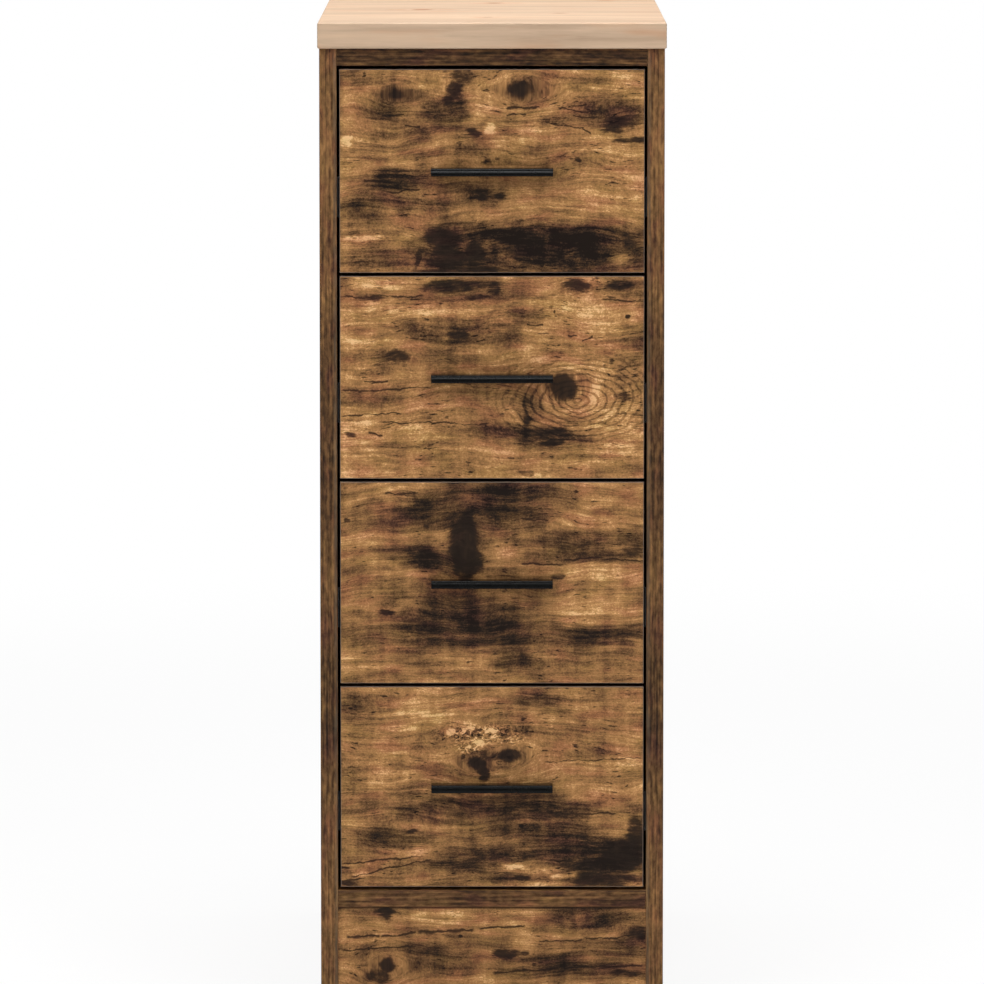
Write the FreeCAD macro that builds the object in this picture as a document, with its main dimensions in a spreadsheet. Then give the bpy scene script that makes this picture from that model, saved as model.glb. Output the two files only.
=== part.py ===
"""Narrow drawer cabinet: four flush drawers on ball-bearing runners under a solid pine worktop.

Frame: +Z up, front towards -Y, origin on the floor under the middle of the overall box.
Every size is in millimetres.
"""
import FreeCAD
import Part
import os
import re
import Sketcher

DRAWERS = 4
BALLS_IN_A_ROW = 6
RUNNER_SCREWS = 3
NAILS_IN_A_ROW = 5

# Driving dimensions: name, value, what it measures.
DRIVING = [
    ("carcass_width", 300, "cabinet body, outside to outside"),
    ("carcass_depth", 500, "cabinet body, front edge to back edge"),
    ("board", 15, "side, top, bottom and base boards"),
    ("base_height", 84.5, "floor to the underside of the bottom panel"),
    ("glide_height", 5, "floor to the lower edge of the side panels"),
    ("plinth_setback", 1.5, "plinth face behind the front plane"),
    ("arris", 0.5, "small bevel on the edges that face the front"),
    ("worktop_thickness", 22.5, "pine worktop"),
    ("worktop_side_overhang", 1.5, "worktop past each side panel"),
    ("worktop_overhang", 5, "worktop past the front plane"),
    ("worktop_edge", 1.5, "rounding of every edge of the worktop"),
    ("back_thickness", 3, "hardboard back panel"),
    ("back_inset", 8, "back panel in from the back edge of the side panels"),
    ("groove_depth", 6, "grooves for the back panel and the drawer bottoms"),
    ("groove_play", 0.2, "room round a hardboard edge in its groove"),
    ("front_height", 177, "one drawer front"),
    ("front_thickness", 15, "drawer front board"),
    ("front_gap", 3, "gap above and below a drawer front"),
    ("side_gap", 2.5, "gap at each end of a drawer front"),
    ("box_board", 12, "drawer sides and back"),
    ("box_lift", 15, "drawer side's lower edge above its front's lower edge"),
    ("box_drop", 27, "drawer side's upper edge below its front's upper edge"),
    ("rear_room", 22, "drawer box to the back panel"),
    ("bottom_thickness", 3, "hardboard drawer bottom"),
    ("bottom_lift", 8, "drawer bottom above the sides' lower edge"),
    ("runner_start", 1, "runner in from both ends of the drawer side"),
    ("runner_sheet", 1.2, "steel of both runner members"),
    ("runner_half_height", 17.5, "cabinet member, axis to its outer edge"),
    ("runner_level", 50, "runner axis above the drawer side's lower edge"),
    ("ball_diameter", 4.5, "bearing ball"),
    ("ball_play", 0.05, "room between a ball and its races"),
    ("race_lip", 0.4, "straight end of a race past the ball centres"),
    ("lip_gap", 0.65, "cage web to the lips of the drawer member"),
    ("cage_length", 110, "ball cage along the runner"),
    ("cage_sheet", 0.6, "ball cage strip"),
    ("cage_gap", 0.4, "cage web to the cabinet member's web"),
    ("cage_rise", 0.9, "cage flange above the ball centres"),
    ("cage_reach", 1.45, "cage flange past the ball centres"),
    ("cage_margin", 5, "runner left past the cage at full travel"),
    ("ball_end", 8, "first ball to the end of its cage"),
    ("cabinet_screw_end", 35, "outer screws of a cabinet member from its ends"),
    ("drawer_screw_first", 55, "first screw of a drawer member from its front end"),
    ("drawer_screw_last", 75, "last screw of a drawer member from its back end"),
    ("handle_reach", 14.5, "pull's nose in front of the drawer front"),
    ("handle_above", 3.25, "pull's top face above the middle of the front"),
    ("handle_below", 3.75, "pull's lip below the middle of the front"),
    ("handle_web", 2.4, "top web of the pull"),
    ("handle_lip", 2.6, "down-turned lip of the pull"),
    ("nose_radius", 2.2, "upper rounding of the pull's nose"),
    ("lip_radius", 1.2, "lower rounding of the pull's lip"),
    ("handle_spacing", 96, "pull's screw centres"),
    ("handle_boss", 10, "width of the bosses that take the pull's screws"),
    ("boss_depth", 8, "how far a boss stands from the drawer front"),
    ("handle_thread", 6, "depth of the threaded hole in a boss"),
    ("cam_diameter", 15, "cam lock of the carcass"),
    ("cam_cover", 2.5, "board left above a cam lock of the carcass"),
    ("cam_distance", 34, "cam axis from the end of its panel"),
    ("small_cam_diameter", 12, "cam lock of a drawer"),
    ("small_cam_cover", 2.5, "drawer side left behind a cam lock"),
    ("small_cam_distance", 24, "cam axis from the front end of a drawer side"),
    ("cam_play", 0.1, "room round a cam lock"),
    ("cam_slot", 1.6, "width of the driver slot in a cam lock"),
    ("cam_slot_depth", 2, "depth of the driver slot"),
    ("bolt_thread", 5, "diameter of a cam bolt's thread"),
    ("hole_cover", 3.5, "board left behind the holes in its face for bolts and dowels"),
    ("bolt_collar", 7, "diameter of a cam bolt's collar and head"),
    ("bolt_collar_length", 3, "length of a cam bolt's collar and head"),
    ("bolt_shaft", 4.5, "diameter of a cam bolt's shaft"),
    ("bolt_bore", 7.6, "bore along a panel for the cam bolt"),
    ("dowel_diameter", 8, "wooden dowel"),
    ("dowel_in_end", 19, "dowel's length in the end of the board that it carries"),
    ("dowel_chamfer", 1, "bevel on the ends of a dowel"),
    ("hole_play", 0.05, "radial room round a screw, dowel or bolt"),
    ("hole_spare", 0.5, "hole left past the end of what it holds"),
    ("cam_setback", 60, "cam locks in from the ends of the panel's depth"),
    ("dowel_setback", 92, "dowels in from the ends of the panel's depth"),
    ("rail_dowel_inset", 20, "base board dowels from its upper and lower edges"),
    ("small_cam_inset", 28, "drawer's cam locks from the side's upper and lower edges"),
    ("back_screw_inset", 30, "drawer's back screws from the side's upper and lower edges"),
    ("long_screw_head", 7.6, "head diameter of the worktop, bracket and handle screws"),
    ("long_screw_head_height", 2.4, "head height of the same screws"),
    ("worktop_screw_shank", 4, "worktop screw"),
    ("worktop_screw_length", 30, "worktop screw under its head"),
    ("worktop_screw_side_inset", 45, "worktop screws from the panel's ends"),
    ("worktop_screw_depth_inset", 35, "worktop screws from the panel's front and back"),
    ("bracket_screw_shank", 3.5, "wall bracket's own screw"),
    ("bracket_screw_length", 13, "wall bracket's screw under its head"),
    ("handle_screw_shank", 4, "pull's machine screw"),
    ("box_screw_shank", 3.5, "screw through a drawer side into the drawer back"),
    ("box_screw_length", 35, "the same screw, overall"),
    ("box_screw_head", 7, "its countersunk head"),
    ("runner_screw_shank", 3.2, "runner screw"),
    ("screw_cover", 2.2, "drawer side left behind a runner screw's hole"),
    ("runner_screw_head", 6.4, "its countersunk head"),
    ("screw_tip", 2.5, "length of a wood screw's point"),
    ("nail_shank", 1.4, "back panel nail"),
    ("nail_length", 18, "back panel nail under its head"),
    ("nail_head", 3.6, "its head"),
    ("nail_head_height", 0.6, "height of its head"),
    ("nail_inset", 25, "outer nails from the side panels"),
    ("glide_width", 12, "glide across the side panel"),
    ("glide_length", 34, "glide along the side panel"),
    ("glide_inset", 18, "glide from the front or back edge"),
    ("glide_round", 1.5, "bevel round a glide's foot"),
    ("peg_diameter", 5, "glide's peg"),
    ("peg_length", 14, "glide's peg in the side panel"),
    ("bracket_leg", 25, "both legs of a wall bracket"),
    ("bracket_width", 20, "wall bracket across"),
    ("bracket_sheet", 2, "wall bracket's steel"),
    ("bracket_hole", 15, "bracket holes from its corner"),
    ("bracket_spread", 140, "wall bracket to wall bracket"),
    ("wall_screw_hole", 5, "hole for the wall screw"),
]

# Sizes that follow from the driving ones: name, formula, what it measures.
WORKED_OUT = [
    ("front_plane", "(handle_reach - carcass_depth) / 2", "y of the flush front"),
    ("inner_width", "carcass_width - 2 * board", "between the side panels"),
    ("panel_depth", "carcass_depth - back_inset - back_thickness", "top and bottom panels"),
    ("opening_floor", "base_height + board", "upper face of the bottom panel"),
    ("opening_height", f"{DRAWERS} * front_height + {DRAWERS + 1} * front_gap", "room for the fronts"),
    ("opening_roof", "opening_floor + opening_height", "lower face of the top panel"),
    ("carcass_top", "opening_roof + board", "lower face of the worktop"),
    ("side_height", "carcass_top - glide_height", "side panel"),
    ("rail_height", "base_height - glide_height", "plinth and rear base rail"),
    ("front_width", "inner_width - 2 * side_gap", "one drawer front"),
    ("drawer_pitch", "front_height + front_gap", "drawer to drawer"),
    ("race_inner", "ball_diameter / 2 + ball_play", "inner radius of a ball race"),
    ("race_outer", "race_inner + runner_sheet", "outer radius of a ball race"),
    ("ball_level", "runner_half_height - race_outer", "ball centres above the runner axis"),
    ("ball_offset", "runner_sheet + cage_gap + cage_sheet + lip_gap + race_outer",
     "ball centres from the cabinet side"),
    ("runner_width", "2 * ball_offset", "room between a drawer side and the cabinet side"),
    ("box_height", "front_height - box_lift - box_drop", "drawer side"),
    ("box_length", "panel_depth - front_thickness - rear_room", "drawer side"),
    ("runner_length", "box_length - 2 * runner_start", "both members of a runner"),
    ("drawer_travel", "runner_length - cage_length - 2 * cage_margin", "how far a drawer pulls out"),
    ("box_width", "inner_width - 2 * runner_width", "drawer box, outside to outside"),
    ("box_inner_width", "box_width - 2 * box_board", "between the drawer sides"),
    ("box_back_height", "box_height - bottom_lift - bottom_thickness", "drawer back"),
    ("bottom_width", "box_inner_width + 2 * (groove_depth - groove_play)", "drawer bottom"),
    ("bottom_length", "box_length + groove_depth - groove_play", "drawer bottom"),
    ("cage_start", "drawer_travel / 2 + cage_margin", "cage behind the runner's front end"),
    ("ball_pitch", f"(cage_length - 2 * ball_end) / {BALLS_IN_A_ROW - 1}", "ball to ball"),
    ("cabinet_screw_pitch", f"(runner_length - 2 * cabinet_screw_end) / {RUNNER_SCREWS - 1}",
     "screws of a cabinet member"),
    ("drawer_screw_pitch",
     f"(runner_length - drawer_screw_first - drawer_screw_last) / {RUNNER_SCREWS - 1}",
     "screws of a drawer member"),
    ("cam_depth", "board - cam_cover", "cam lock of the carcass, along its own axis"),
    ("small_cam_depth", "box_board - small_cam_cover", "cam lock of a drawer"),
    ("bolt_thread_length", "board - hole_cover - hole_spare", "cam bolt in a board's face"),
    ("dowel_in_side", "board - hole_cover - hole_spare", "dowel in a board's face"),
    ("runner_screw_length", "box_board - screw_cover - hole_spare + runner_sheet", "overall"),
    ("handle_length", "handle_spacing + handle_boss", "pull, end to end"),
    ("handle_screw_length", "front_thickness + handle_thread - hole_spare", "under its head"),
]

doc = FreeCAD.newDocument("DrawerCabinet")
sheet = doc.addObject("Spreadsheet::Sheet", "Sizes")
nodes = []


def fill_sheet():
    """Writes every size into the sheet, the driving ones as plain numbers."""
    rows = DRIVING + [(name, "=" + formula, note) for name, formula, note in WORKED_OUT]
    for row, (name, content, note) in enumerate(rows, start=1):
        sheet.set(f"A{row}", name)
        sheet.set(f"B{row}", str(content))
        sheet.set(f"C{row}", note)
        sheet.setAlias(f"B{row}", name)
    doc.recompute()


def linked(formula):
    """Puts the sheet's name before each size that a formula names."""
    return re.sub(r"[a-z]\w*", lambda size: "Sizes." + size.group(), str(formula))


def value(formula):
    """The number that a formula gives now, to draw a first outline with."""
    return float(sheet.evalExpression(linked(formula)))


def bind(thing, prop, formula):
    thing.setExpression(prop, linked(formula))


def place(thing, x=0, y=0, z=0):
    for axis, formula in zip("xyz", (x, y, z)):
        bind(thing, f"Placement.Base.{axis}", formula)


def new_body(label, x=0, y=0, z=0):
    body = doc.addObject("PartDesign::Body", label)
    body.Label = label
    place(body, x, y, z)
    return body


def new_sketch(body, role, lift=0):
    """An empty sketch on one of the body's own planes, lifted along the plane's normal."""
    sketch = body.newObject("Sketcher::SketchObject", f"{body.Name}_sketch")
    plane = [feature for feature in body.Origin.OriginFeatures if feature.Role == role][0]
    sketch.AttachmentSupport = (plane, [""])
    sketch.MapMode = "FlatFace"
    bind(sketch, "AttachmentOffset.Base.z", lift)
    return sketch


def add_ties(sketch, ties):
    """Adds (constraint, formula) pairs in one go; a formula keeps its constraint up to date."""
    numbers = sketch.addConstraint([constraint for constraint, _ in ties])
    for number, (_, formula) in zip(numbers, ties):
        if formula is not None:
            sketch.setExpression(f"Constraints[{number}]", linked(formula))


def point_ties(geometry, end, corner):
    """Ties one point of a sketch to the two formulas of a corner."""
    return [(Sketcher.Constraint("Distance" + axis, -1, 1, geometry, end, value(formula)), formula)
            for axis, formula in zip("XY", corner)]


def joint_tie(first, first_end, second, second_end):
    return (Sketcher.Constraint("Coincident", first, first_end, second, second_end), None)


def draw_outline(sketch, corners):
    """Draws one closed outline; a corner is (x, y) or (x, y, radius of its rounding)."""
    points = [FreeCAD.Vector(value(corner[0]), value(corner[1]), 0) for corner in corners]
    ends = []
    for index, corner in enumerate(corners):
        before = (points[index] - points[index - 1]).normalize()
        after = (points[(index + 1) % len(points)] - points[index]).normalize()
        ends.append([shifted(corner, points[index], side) for side in (-before, after)])
    lines = []
    ties = []
    for index in range(len(corners)):
        start = ends[index][1]
        stop = ends[(index + 1) % len(corners)][0]
        lines.append(sketch.addGeometry(Part.LineSegment(start[1], stop[1]), False))
        ties += point_ties(lines[-1], 1, start[0])
    for index, corner in enumerate(corners):
        line_in, line_out = lines[index - 1], lines[index]
        if len(corner) == 2:
            ties.append(joint_tie(line_in, 2, line_out, 1))
            continue
        arrive, leave = ends[index]
        centre = arrive[1] + leave[1] - points[index]
        middle = centre + (points[index] - centre).normalize() * value(corner[2])
        arc = sketch.addGeometry(Part.Arc(arrive[1], middle, leave[1]), False)
        forward = (sketch.getPoint(arc, 1) - arrive[1]).Length < 1e-6
        arc_in, arc_out = (1, 2) if forward else (2, 1)
        ties += point_ties(line_in, 2, arrive[0])
        ties.append(joint_tie(line_in, 2, arc, arc_in))
        ties.append(joint_tie(line_out, 1, arc, arc_out))
        ties.append((Sketcher.Constraint("Radius", arc, value(corner[2])), corner[2]))
    add_ties(sketch, ties)


def shifted(corner, point, side):
    """Formulas and place of the point where a corner's rounding meets its straight side."""
    if len(corner) == 2:
        return corner, point
    formulas = tuple(f"{corner[axis]} + ({side[axis]:.0f}) * ({corner[2]})" for axis in (0, 1))
    return formulas, point + side * value(corner[2])


def draw_rectangle(sketch, low, high):
    draw_outline(sketch, [low, (high[0], low[1]), high, (low[0], high[1])])


def draw_circles(sketch, centres, diameter):
    ties = []
    for centre in centres:
        middle = FreeCAD.Vector(value(centre[0]), value(centre[1]), 0)
        normal = FreeCAD.Vector(0, 0, 1)
        circle = sketch.addGeometry(Part.Circle(middle, normal, value(diameter) / 2), False)
        ties += point_ties(circle, 3, centre)
        ties.append((Sketcher.Constraint("Diameter", circle, value(diameter)), diameter))
    add_ties(sketch, ties)


def extrude(body, kind, sketch, length, along_normal, midplane=False):
    """Adds a Pad or a Pocket that runs along the sketch's normal or against it."""
    feature = body.newObject(f"PartDesign::{kind}", f"{body.Name}_{kind.lower()}")
    feature.Profile = sketch
    bind(feature, "Length", length)
    feature.Midplane = midplane
    feature.Reversed = along_normal if kind == "Pocket" else not along_normal
    feature.Refine = kind == "Pad"
    return feature


def pad(body, sketch, length, along_normal=True, midplane=False):
    return extrude(body, "Pad", sketch, length, along_normal, midplane)


def pocket(body, sketch, length, along_normal=False, midplane=False):
    return extrude(body, "Pocket", sketch, length, along_normal, midplane)


def drill(body, role, centres, diameter, depth, lift=0, along_normal=False):
    """Round holes that start at a lifted plane."""
    sketch = new_sketch(body, role, lift)
    draw_circles(sketch, centres, diameter)
    return pocket(body, sketch, depth, along_normal)


def bevel_front(body, size):
    """A small bevel round the face that lies in the body's own XZ plane."""
    doc.recompute()
    tip = body.Tip
    names = []
    for number, edge in enumerate(tip.Shape.Edges, start=1):
        box = edge.BoundBox
        straight = edge.Curve.TypeId == "Part::GeomLine"
        if straight and abs(box.YMin) < 1e-6 and abs(box.YMax) < 1e-6:
            names.append(f"Edge{number}")
    chamfer = body.newObject("PartDesign::Chamfer", f"{body.Name}_bevel")
    chamfer.Base = (tip, names)
    bind(chamfer, "Size", size)
    return chamfer


def turn(body, profile):
    """A full turn of an outline in the XZ plane round the body's Z axis."""
    sketch = new_sketch(body, "XZ_Plane")
    draw_outline(sketch, profile)
    feature = body.newObject("PartDesign::Revolution", f"{body.Name}_turned")
    feature.Profile = sketch
    feature.ReferenceAxis = (sketch, ["V_Axis"])
    feature.Angle = 360
    return feature


def keep(thing, label):
    """Counts a finished piece, or group of like pieces, as a node of the cabinet."""
    thing.Label = label
    nodes.append(thing)
    return thing


def copies(source, spots, angles=(0, 0, 0)):
    """Copies of one piece at the given spots, all turned alike (yaw, pitch, roll)."""
    links = []
    for x, y, z in spots:
        link = doc.addObject("App::Link", f"{source.Name}_copy")
        link.LinkedObject = source
        link.LinkTransform = True
        link.Placement = FreeCAD.Placement(FreeCAD.Vector(), FreeCAD.Rotation(*angles))
        place(link, x, y, z)
        links.append(link)
    return links


def group(label, members):
    compound = doc.addObject("Part::Compound", label)
    compound.Links = members
    return compound


def mirrored(source, label):
    """The right-hand twin of a left-hand piece."""
    twin = doc.addObject("Part::Mirroring", label)
    twin.Source = source
    twin.Normal = FreeCAD.Vector(1, 0, 0)
    return twin


def pair(label, left_members):
    """A group of left-hand pieces with its right-hand twins."""
    left = group(f"{label}_left", left_members)
    return keep(group(label, [left, mirrored(left, f"{label}_right")]), label)


def level_of(drawer):
    """Lower edge of a drawer front; drawer 1 is the top one."""
    return f"opening_floor + front_gap + {DRAWERS - drawer} * drawer_pitch"


def box_level_of(drawer):
    return f"{level_of(drawer)} + box_lift"


def runner_level_of(drawer):
    return f"{box_level_of(drawer)} + runner_level"


# Places that several pieces share, measured along the depth from the front plane.
CAM_DEPTHS = ["cam_setback", "panel_depth - cam_setback"]
DOWEL_DEPTHS = ["dowel_setback", "panel_depth - dowel_setback"]
RAIL_DEPTHS = ["plinth_setback + board / 2", "panel_depth - board / 2"]
RAIL_LEVELS = ["rail_dowel_inset", "rail_height - rail_dowel_inset"]
PANEL_LEVELS = ["base_height + board / 2", "opening_roof + board / 2"]
SMALL_CAM_LEVELS = ["small_cam_inset", "box_height - small_cam_inset"]
BACK_SCREW_LEVELS = ["back_screw_inset", "box_height - back_screw_inset"]
RUNNER_FRONT = "front_thickness + runner_start"
CABINET_SCREWS = [f"cabinet_screw_end + {number} * cabinet_screw_pitch"
                  for number in range(RUNNER_SCREWS)]
DRAWER_SCREWS = [f"drawer_screw_first + {number} * drawer_screw_pitch"
                 for number in range(RUNNER_SCREWS)]
NAIL_PLACES = [f"nail_inset + {number} * (inner_width - 2 * nail_inset) / {NAILS_IN_A_ROW - 1}"
               for number in range(NAILS_IN_A_ROW)]
WORKTOP_SCREW_PLACES = [(x, y)
                        for x in ("worktop_screw_side_inset",
                                  "inner_width - worktop_screw_side_inset")
                        for y in ("worktop_screw_depth_inset",
                                  "panel_depth - worktop_screw_depth_inset")]
BRACKET_PLACES = ["(inner_width - bracket_spread) / 2", "(inner_width + bracket_spread) / 2"]


def side_panel():
    """Left side: drilled and grooved on its inner face."""
    body = new_body("left_side_panel", "-carcass_width / 2", "front_plane", "glide_height")
    face = new_sketch(body, "YZ_Plane")
    draw_rectangle(face, (0, 0), ("carcass_depth", "side_height"))
    pad(body, face, "board")
    groove = new_sketch(body, "YZ_Plane", "board")
    draw_rectangle(groove, ("panel_depth - groove_play", "base_height - glide_height - groove_play"),
                   ("panel_depth + back_thickness + groove_play", "side_height"))
    pocket(body, groove, "groove_depth")
    bolts = [(y, f"{z} - glide_height") for y in CAM_DEPTHS for z in PANEL_LEVELS]
    drill(body, "YZ_Plane", bolts, "bolt_thread + 2 * hole_play",
          "bolt_thread_length + hole_spare", "board")
    dowels = [(y, f"{z} - glide_height") for y in DOWEL_DEPTHS for z in PANEL_LEVELS]
    dowels += [(y, z) for y in RAIL_DEPTHS for z in RAIL_LEVELS]
    drill(body, "YZ_Plane", dowels, "dowel_diameter + 2 * hole_play",
          "dowel_in_side + hole_spare", "board")
    screws = [(f"{RUNNER_FRONT} + {y}", f"{runner_level_of(drawer)} - glide_height")
              for drawer in range(1, DRAWERS + 1) for y in CABINET_SCREWS]
    drill(body, "YZ_Plane", screws, "runner_screw_shank + 2 * hole_play",
          "runner_screw_length - runner_sheet + hole_spare", "board")
    drill(body, "XY_Plane", glide_places(), "peg_diameter + 2 * hole_play",
          "peg_length + hole_spare", along_normal=True)
    bevel_front(body, "arris")
    keep(body, "left_side_panel")
    keep(mirrored(body, "right_side_panel"), "right_side_panel")


def glide_places():
    """Middle of each glide under the left side panel, in the panel's own frame."""
    half = "glide_inset + glide_length / 2"
    return [("board / 2", half), ("board / 2", f"carcass_depth - ({half})")]


def carcass_panel(label, level):
    """Top or bottom panel between the sides, with cam locks in its lower face."""
    body = new_body(label, "-inner_width / 2", "front_plane", level)
    face = new_sketch(body, "XY_Plane")
    draw_rectangle(face, (0, 0), ("inner_width", "panel_depth"))
    pad(body, face, "board")
    cams = [(x, y) for x in ("cam_distance", "inner_width - cam_distance") for y in CAM_DEPTHS]
    drill(body, "XY_Plane", cams, "cam_diameter + 2 * cam_play", "cam_depth + cam_play",
          along_normal=True)
    drill_ends(body, [(y, "board / 2") for y in CAM_DEPTHS], "bolt_bore", "cam_distance")
    drill_ends(body, [(y, "board / 2") for y in DOWEL_DEPTHS],
               "dowel_diameter + 2 * hole_play", "dowel_in_end + hole_spare")
    drill(body, "XZ_Plane", [(x, "board / 2") for x in NAIL_PLACES],
          "nail_shank + 2 * hole_play", "nail_length - back_thickness + hole_spare",
          "-panel_depth", along_normal=True)
    if label == "top_panel":
        drill(body, "XY_Plane", WORKTOP_SCREW_PLACES, "worktop_screw_shank + 2 * hole_play",
              "board", along_normal=True)
        drill(body, "XY_Plane", [(x, "panel_depth - bracket_hole") for x in BRACKET_PLACES],
              "bracket_screw_shank + 2 * hole_play",
              "bracket_screw_length - bracket_sheet + hole_spare", along_normal=True)
    bevel_front(body, "arris")
    keep(body, label)


def drill_ends(body, centres, diameter, depth):
    """The same holes in both ends of a board that spans the cabinet."""
    drill(body, "YZ_Plane", centres, diameter, depth, along_normal=True)
    drill(body, "YZ_Plane", centres, diameter, depth, "inner_width")


def base_board(label, setback):
    """Plinth or rear rail between the sides, under the bottom panel."""
    body = new_body(label, "-inner_width / 2", f"front_plane + {setback}", "glide_height")
    face = new_sketch(body, "XZ_Plane")
    draw_rectangle(face, (0, 0), ("inner_width", "rail_height"))
    pad(body, face, "board", along_normal=False)
    drill_ends(body, [("board / 2", z) for z in RAIL_LEVELS],
               "dowel_diameter + 2 * hole_play", "dowel_in_end + hole_spare")
    keep(body, label)


def back_panel():
    """Hardboard back, held in the sides' grooves and nailed to the panels' back edges."""
    body = new_body("back_panel", "-inner_width / 2", "front_plane + panel_depth", "base_height")
    face = new_sketch(body, "XZ_Plane")
    tongue = "(groove_depth - groove_play)"
    draw_rectangle(face, (f"-{tongue}", 0), (f"inner_width + {tongue}", "carcass_top - base_height"))
    pad(body, face, "back_thickness", along_normal=False)
    nails = [(x, f"{z} - base_height") for x in NAIL_PLACES for z in PANEL_LEVELS]
    drill(body, "XZ_Plane", nails, "nail_shank + 2 * hole_play", "back_thickness",
          along_normal=False)
    drill(body, "XZ_Plane", [(x, "opening_roof - base_height - bracket_hole") for x in BRACKET_PLACES],
          "wall_screw_hole", "back_thickness", along_normal=False)
    keep(body, "back_panel")


def worktop():
    """Solid pine board, all its edges rounded."""
    body = new_body("worktop", "-carcass_width / 2 - worktop_side_overhang",
                    "front_plane - worktop_overhang", "carcass_top")
    face = new_sketch(body, "XY_Plane")
    draw_rectangle(face, (0, 0), ("carcass_width + 2 * worktop_side_overhang",
                                  "carcass_depth + worktop_overhang"))
    blank = pad(body, face, "worktop_thickness")
    doc.recompute()
    rounding = body.newObject("PartDesign::Fillet", "worktop_rounding")
    rounding.Base = (blank, [f"Edge{number}" for number in range(1, len(blank.Shape.Edges) + 1)])
    bind(rounding, "Radius", "worktop_edge")
    shift = "board + worktop_side_overhang"
    drill(body, "XY_Plane",
          [(f"{x} + {shift}", f"{y} + worktop_overhang") for x, y in WORKTOP_SCREW_PLACES],
          "worktop_screw_shank + 2 * hole_play", "worktop_screw_length - board + hole_spare",
          along_normal=True)
    keep(body, "worktop")


def pan_screw(name, shank, length, pointed):
    """A screw that points up, its pan head below z = 0."""
    body = new_body(name)
    head = "long_screw_head / 2"
    tip = [(f"{shank} / 2", f"{length} - screw_tip"), (0, length)]
    if not pointed:
        tip = [(f"{shank} / 2", length), (0, length)]
    turn(body, [(0, "-long_screw_head_height"),
                (head, "-long_screw_head_height", "long_screw_head_height / 2"),
                (head, 0), (f"{shank} / 2", 0)] + tip)
    return body


def countersunk_screw(name, shank, head, length, cone):
    """A screw that points up, the flat of its countersunk head at z = 0."""
    body = new_body(name)
    turn(body, [(0, 0), (f"{head} / 2", 0), (f"{shank} / 2", cone),
                (f"{shank} / 2", f"{length} - screw_tip"), (0, length)])
    return body


def cam_bolt(name, distance):
    """A cam bolt that points up: thread below z = 0, collar, shaft and head above."""
    body = new_body(name)
    collar = "bolt_collar / 2"
    shaft = "bolt_shaft / 2"
    turn(body, [(0, "-bolt_thread_length"), ("bolt_thread / 2", "-bolt_thread_length"),
                ("bolt_thread / 2", 0), (collar, 0), (collar, "bolt_collar_length"),
                (shaft, "bolt_collar_length"), (shaft, f"{distance} - bolt_collar_length"),
                (collar, f"{distance} - bolt_collar_length"), (collar, distance), (0, distance)])
    return body


def cam_lock(name, diameter, depth, axis_level):
    """A cam lock whose slotted face is at z = 0; its bolt comes in along +X."""
    body = new_body(name)
    disc = new_sketch(body, "XY_Plane")
    draw_circles(disc, [(0, 0)], diameter)
    pad(body, disc, depth)
    drill(body, "YZ_Plane", [(0, axis_level)], "bolt_bore", diameter, "hole_spare")
    slot = new_sketch(body, "XY_Plane")
    reach = f"{diameter} / 4"
    arm = "cam_slot / 2"
    draw_outline(slot, [(f"-{reach}", f"-{arm}"), (f"-{arm}", f"-{arm}"), (f"-{arm}", f"-{reach}"),
                        (arm, f"-{reach}"), (arm, f"-{arm}"), (reach, f"-{arm}"),
                        (reach, arm), (arm, arm), (arm, reach),
                        (f"-{arm}", reach), (f"-{arm}", arm), (f"-{reach}", arm)])
    pocket(body, slot, "cam_slot_depth", along_normal=True)
    return body


def carcass_fittings():
    """Cam locks, cam bolts and dowels of the carcass, left end and mirrored right end."""
    bolt = cam_bolt("carcass_cam_bolt", "cam_distance")
    joint = "-inner_width / 2"
    spots = [(joint, f"front_plane + {y}", z) for y in CAM_DEPTHS for z in PANEL_LEVELS]
    pair("cam_bolts", copies(bolt, spots, (0, 90, 0)))
    lock = cam_lock("carcass_cam_lock", "cam_diameter", "cam_depth", "board / 2")
    spots = [(f"{joint} + cam_distance", f"front_plane + {y}", f"{z} - board / 2")
             for y in CAM_DEPTHS for z in PANEL_LEVELS]
    pair("cam_locks", copies(lock, spots))
    dowel = new_body("carcass_dowel")
    half = "dowel_diameter / 2"
    turn(dowel, [(0, "-dowel_in_side"), (f"{half} - dowel_chamfer", "-dowel_in_side"),
                 (half, "dowel_chamfer - dowel_in_side"), (half, "dowel_in_end - dowel_chamfer"),
                 (f"{half} - dowel_chamfer", "dowel_in_end"), (0, "dowel_in_end")])
    spots = [(joint, f"front_plane + {y}", z) for y in DOWEL_DEPTHS for z in PANEL_LEVELS]
    spots += [(joint, f"front_plane + {y}", f"glide_height + {z}")
              for y in RAIL_DEPTHS for z in RAIL_LEVELS]
    pair("carcass_dowels", copies(dowel, spots, (0, 90, 0)))


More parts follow.
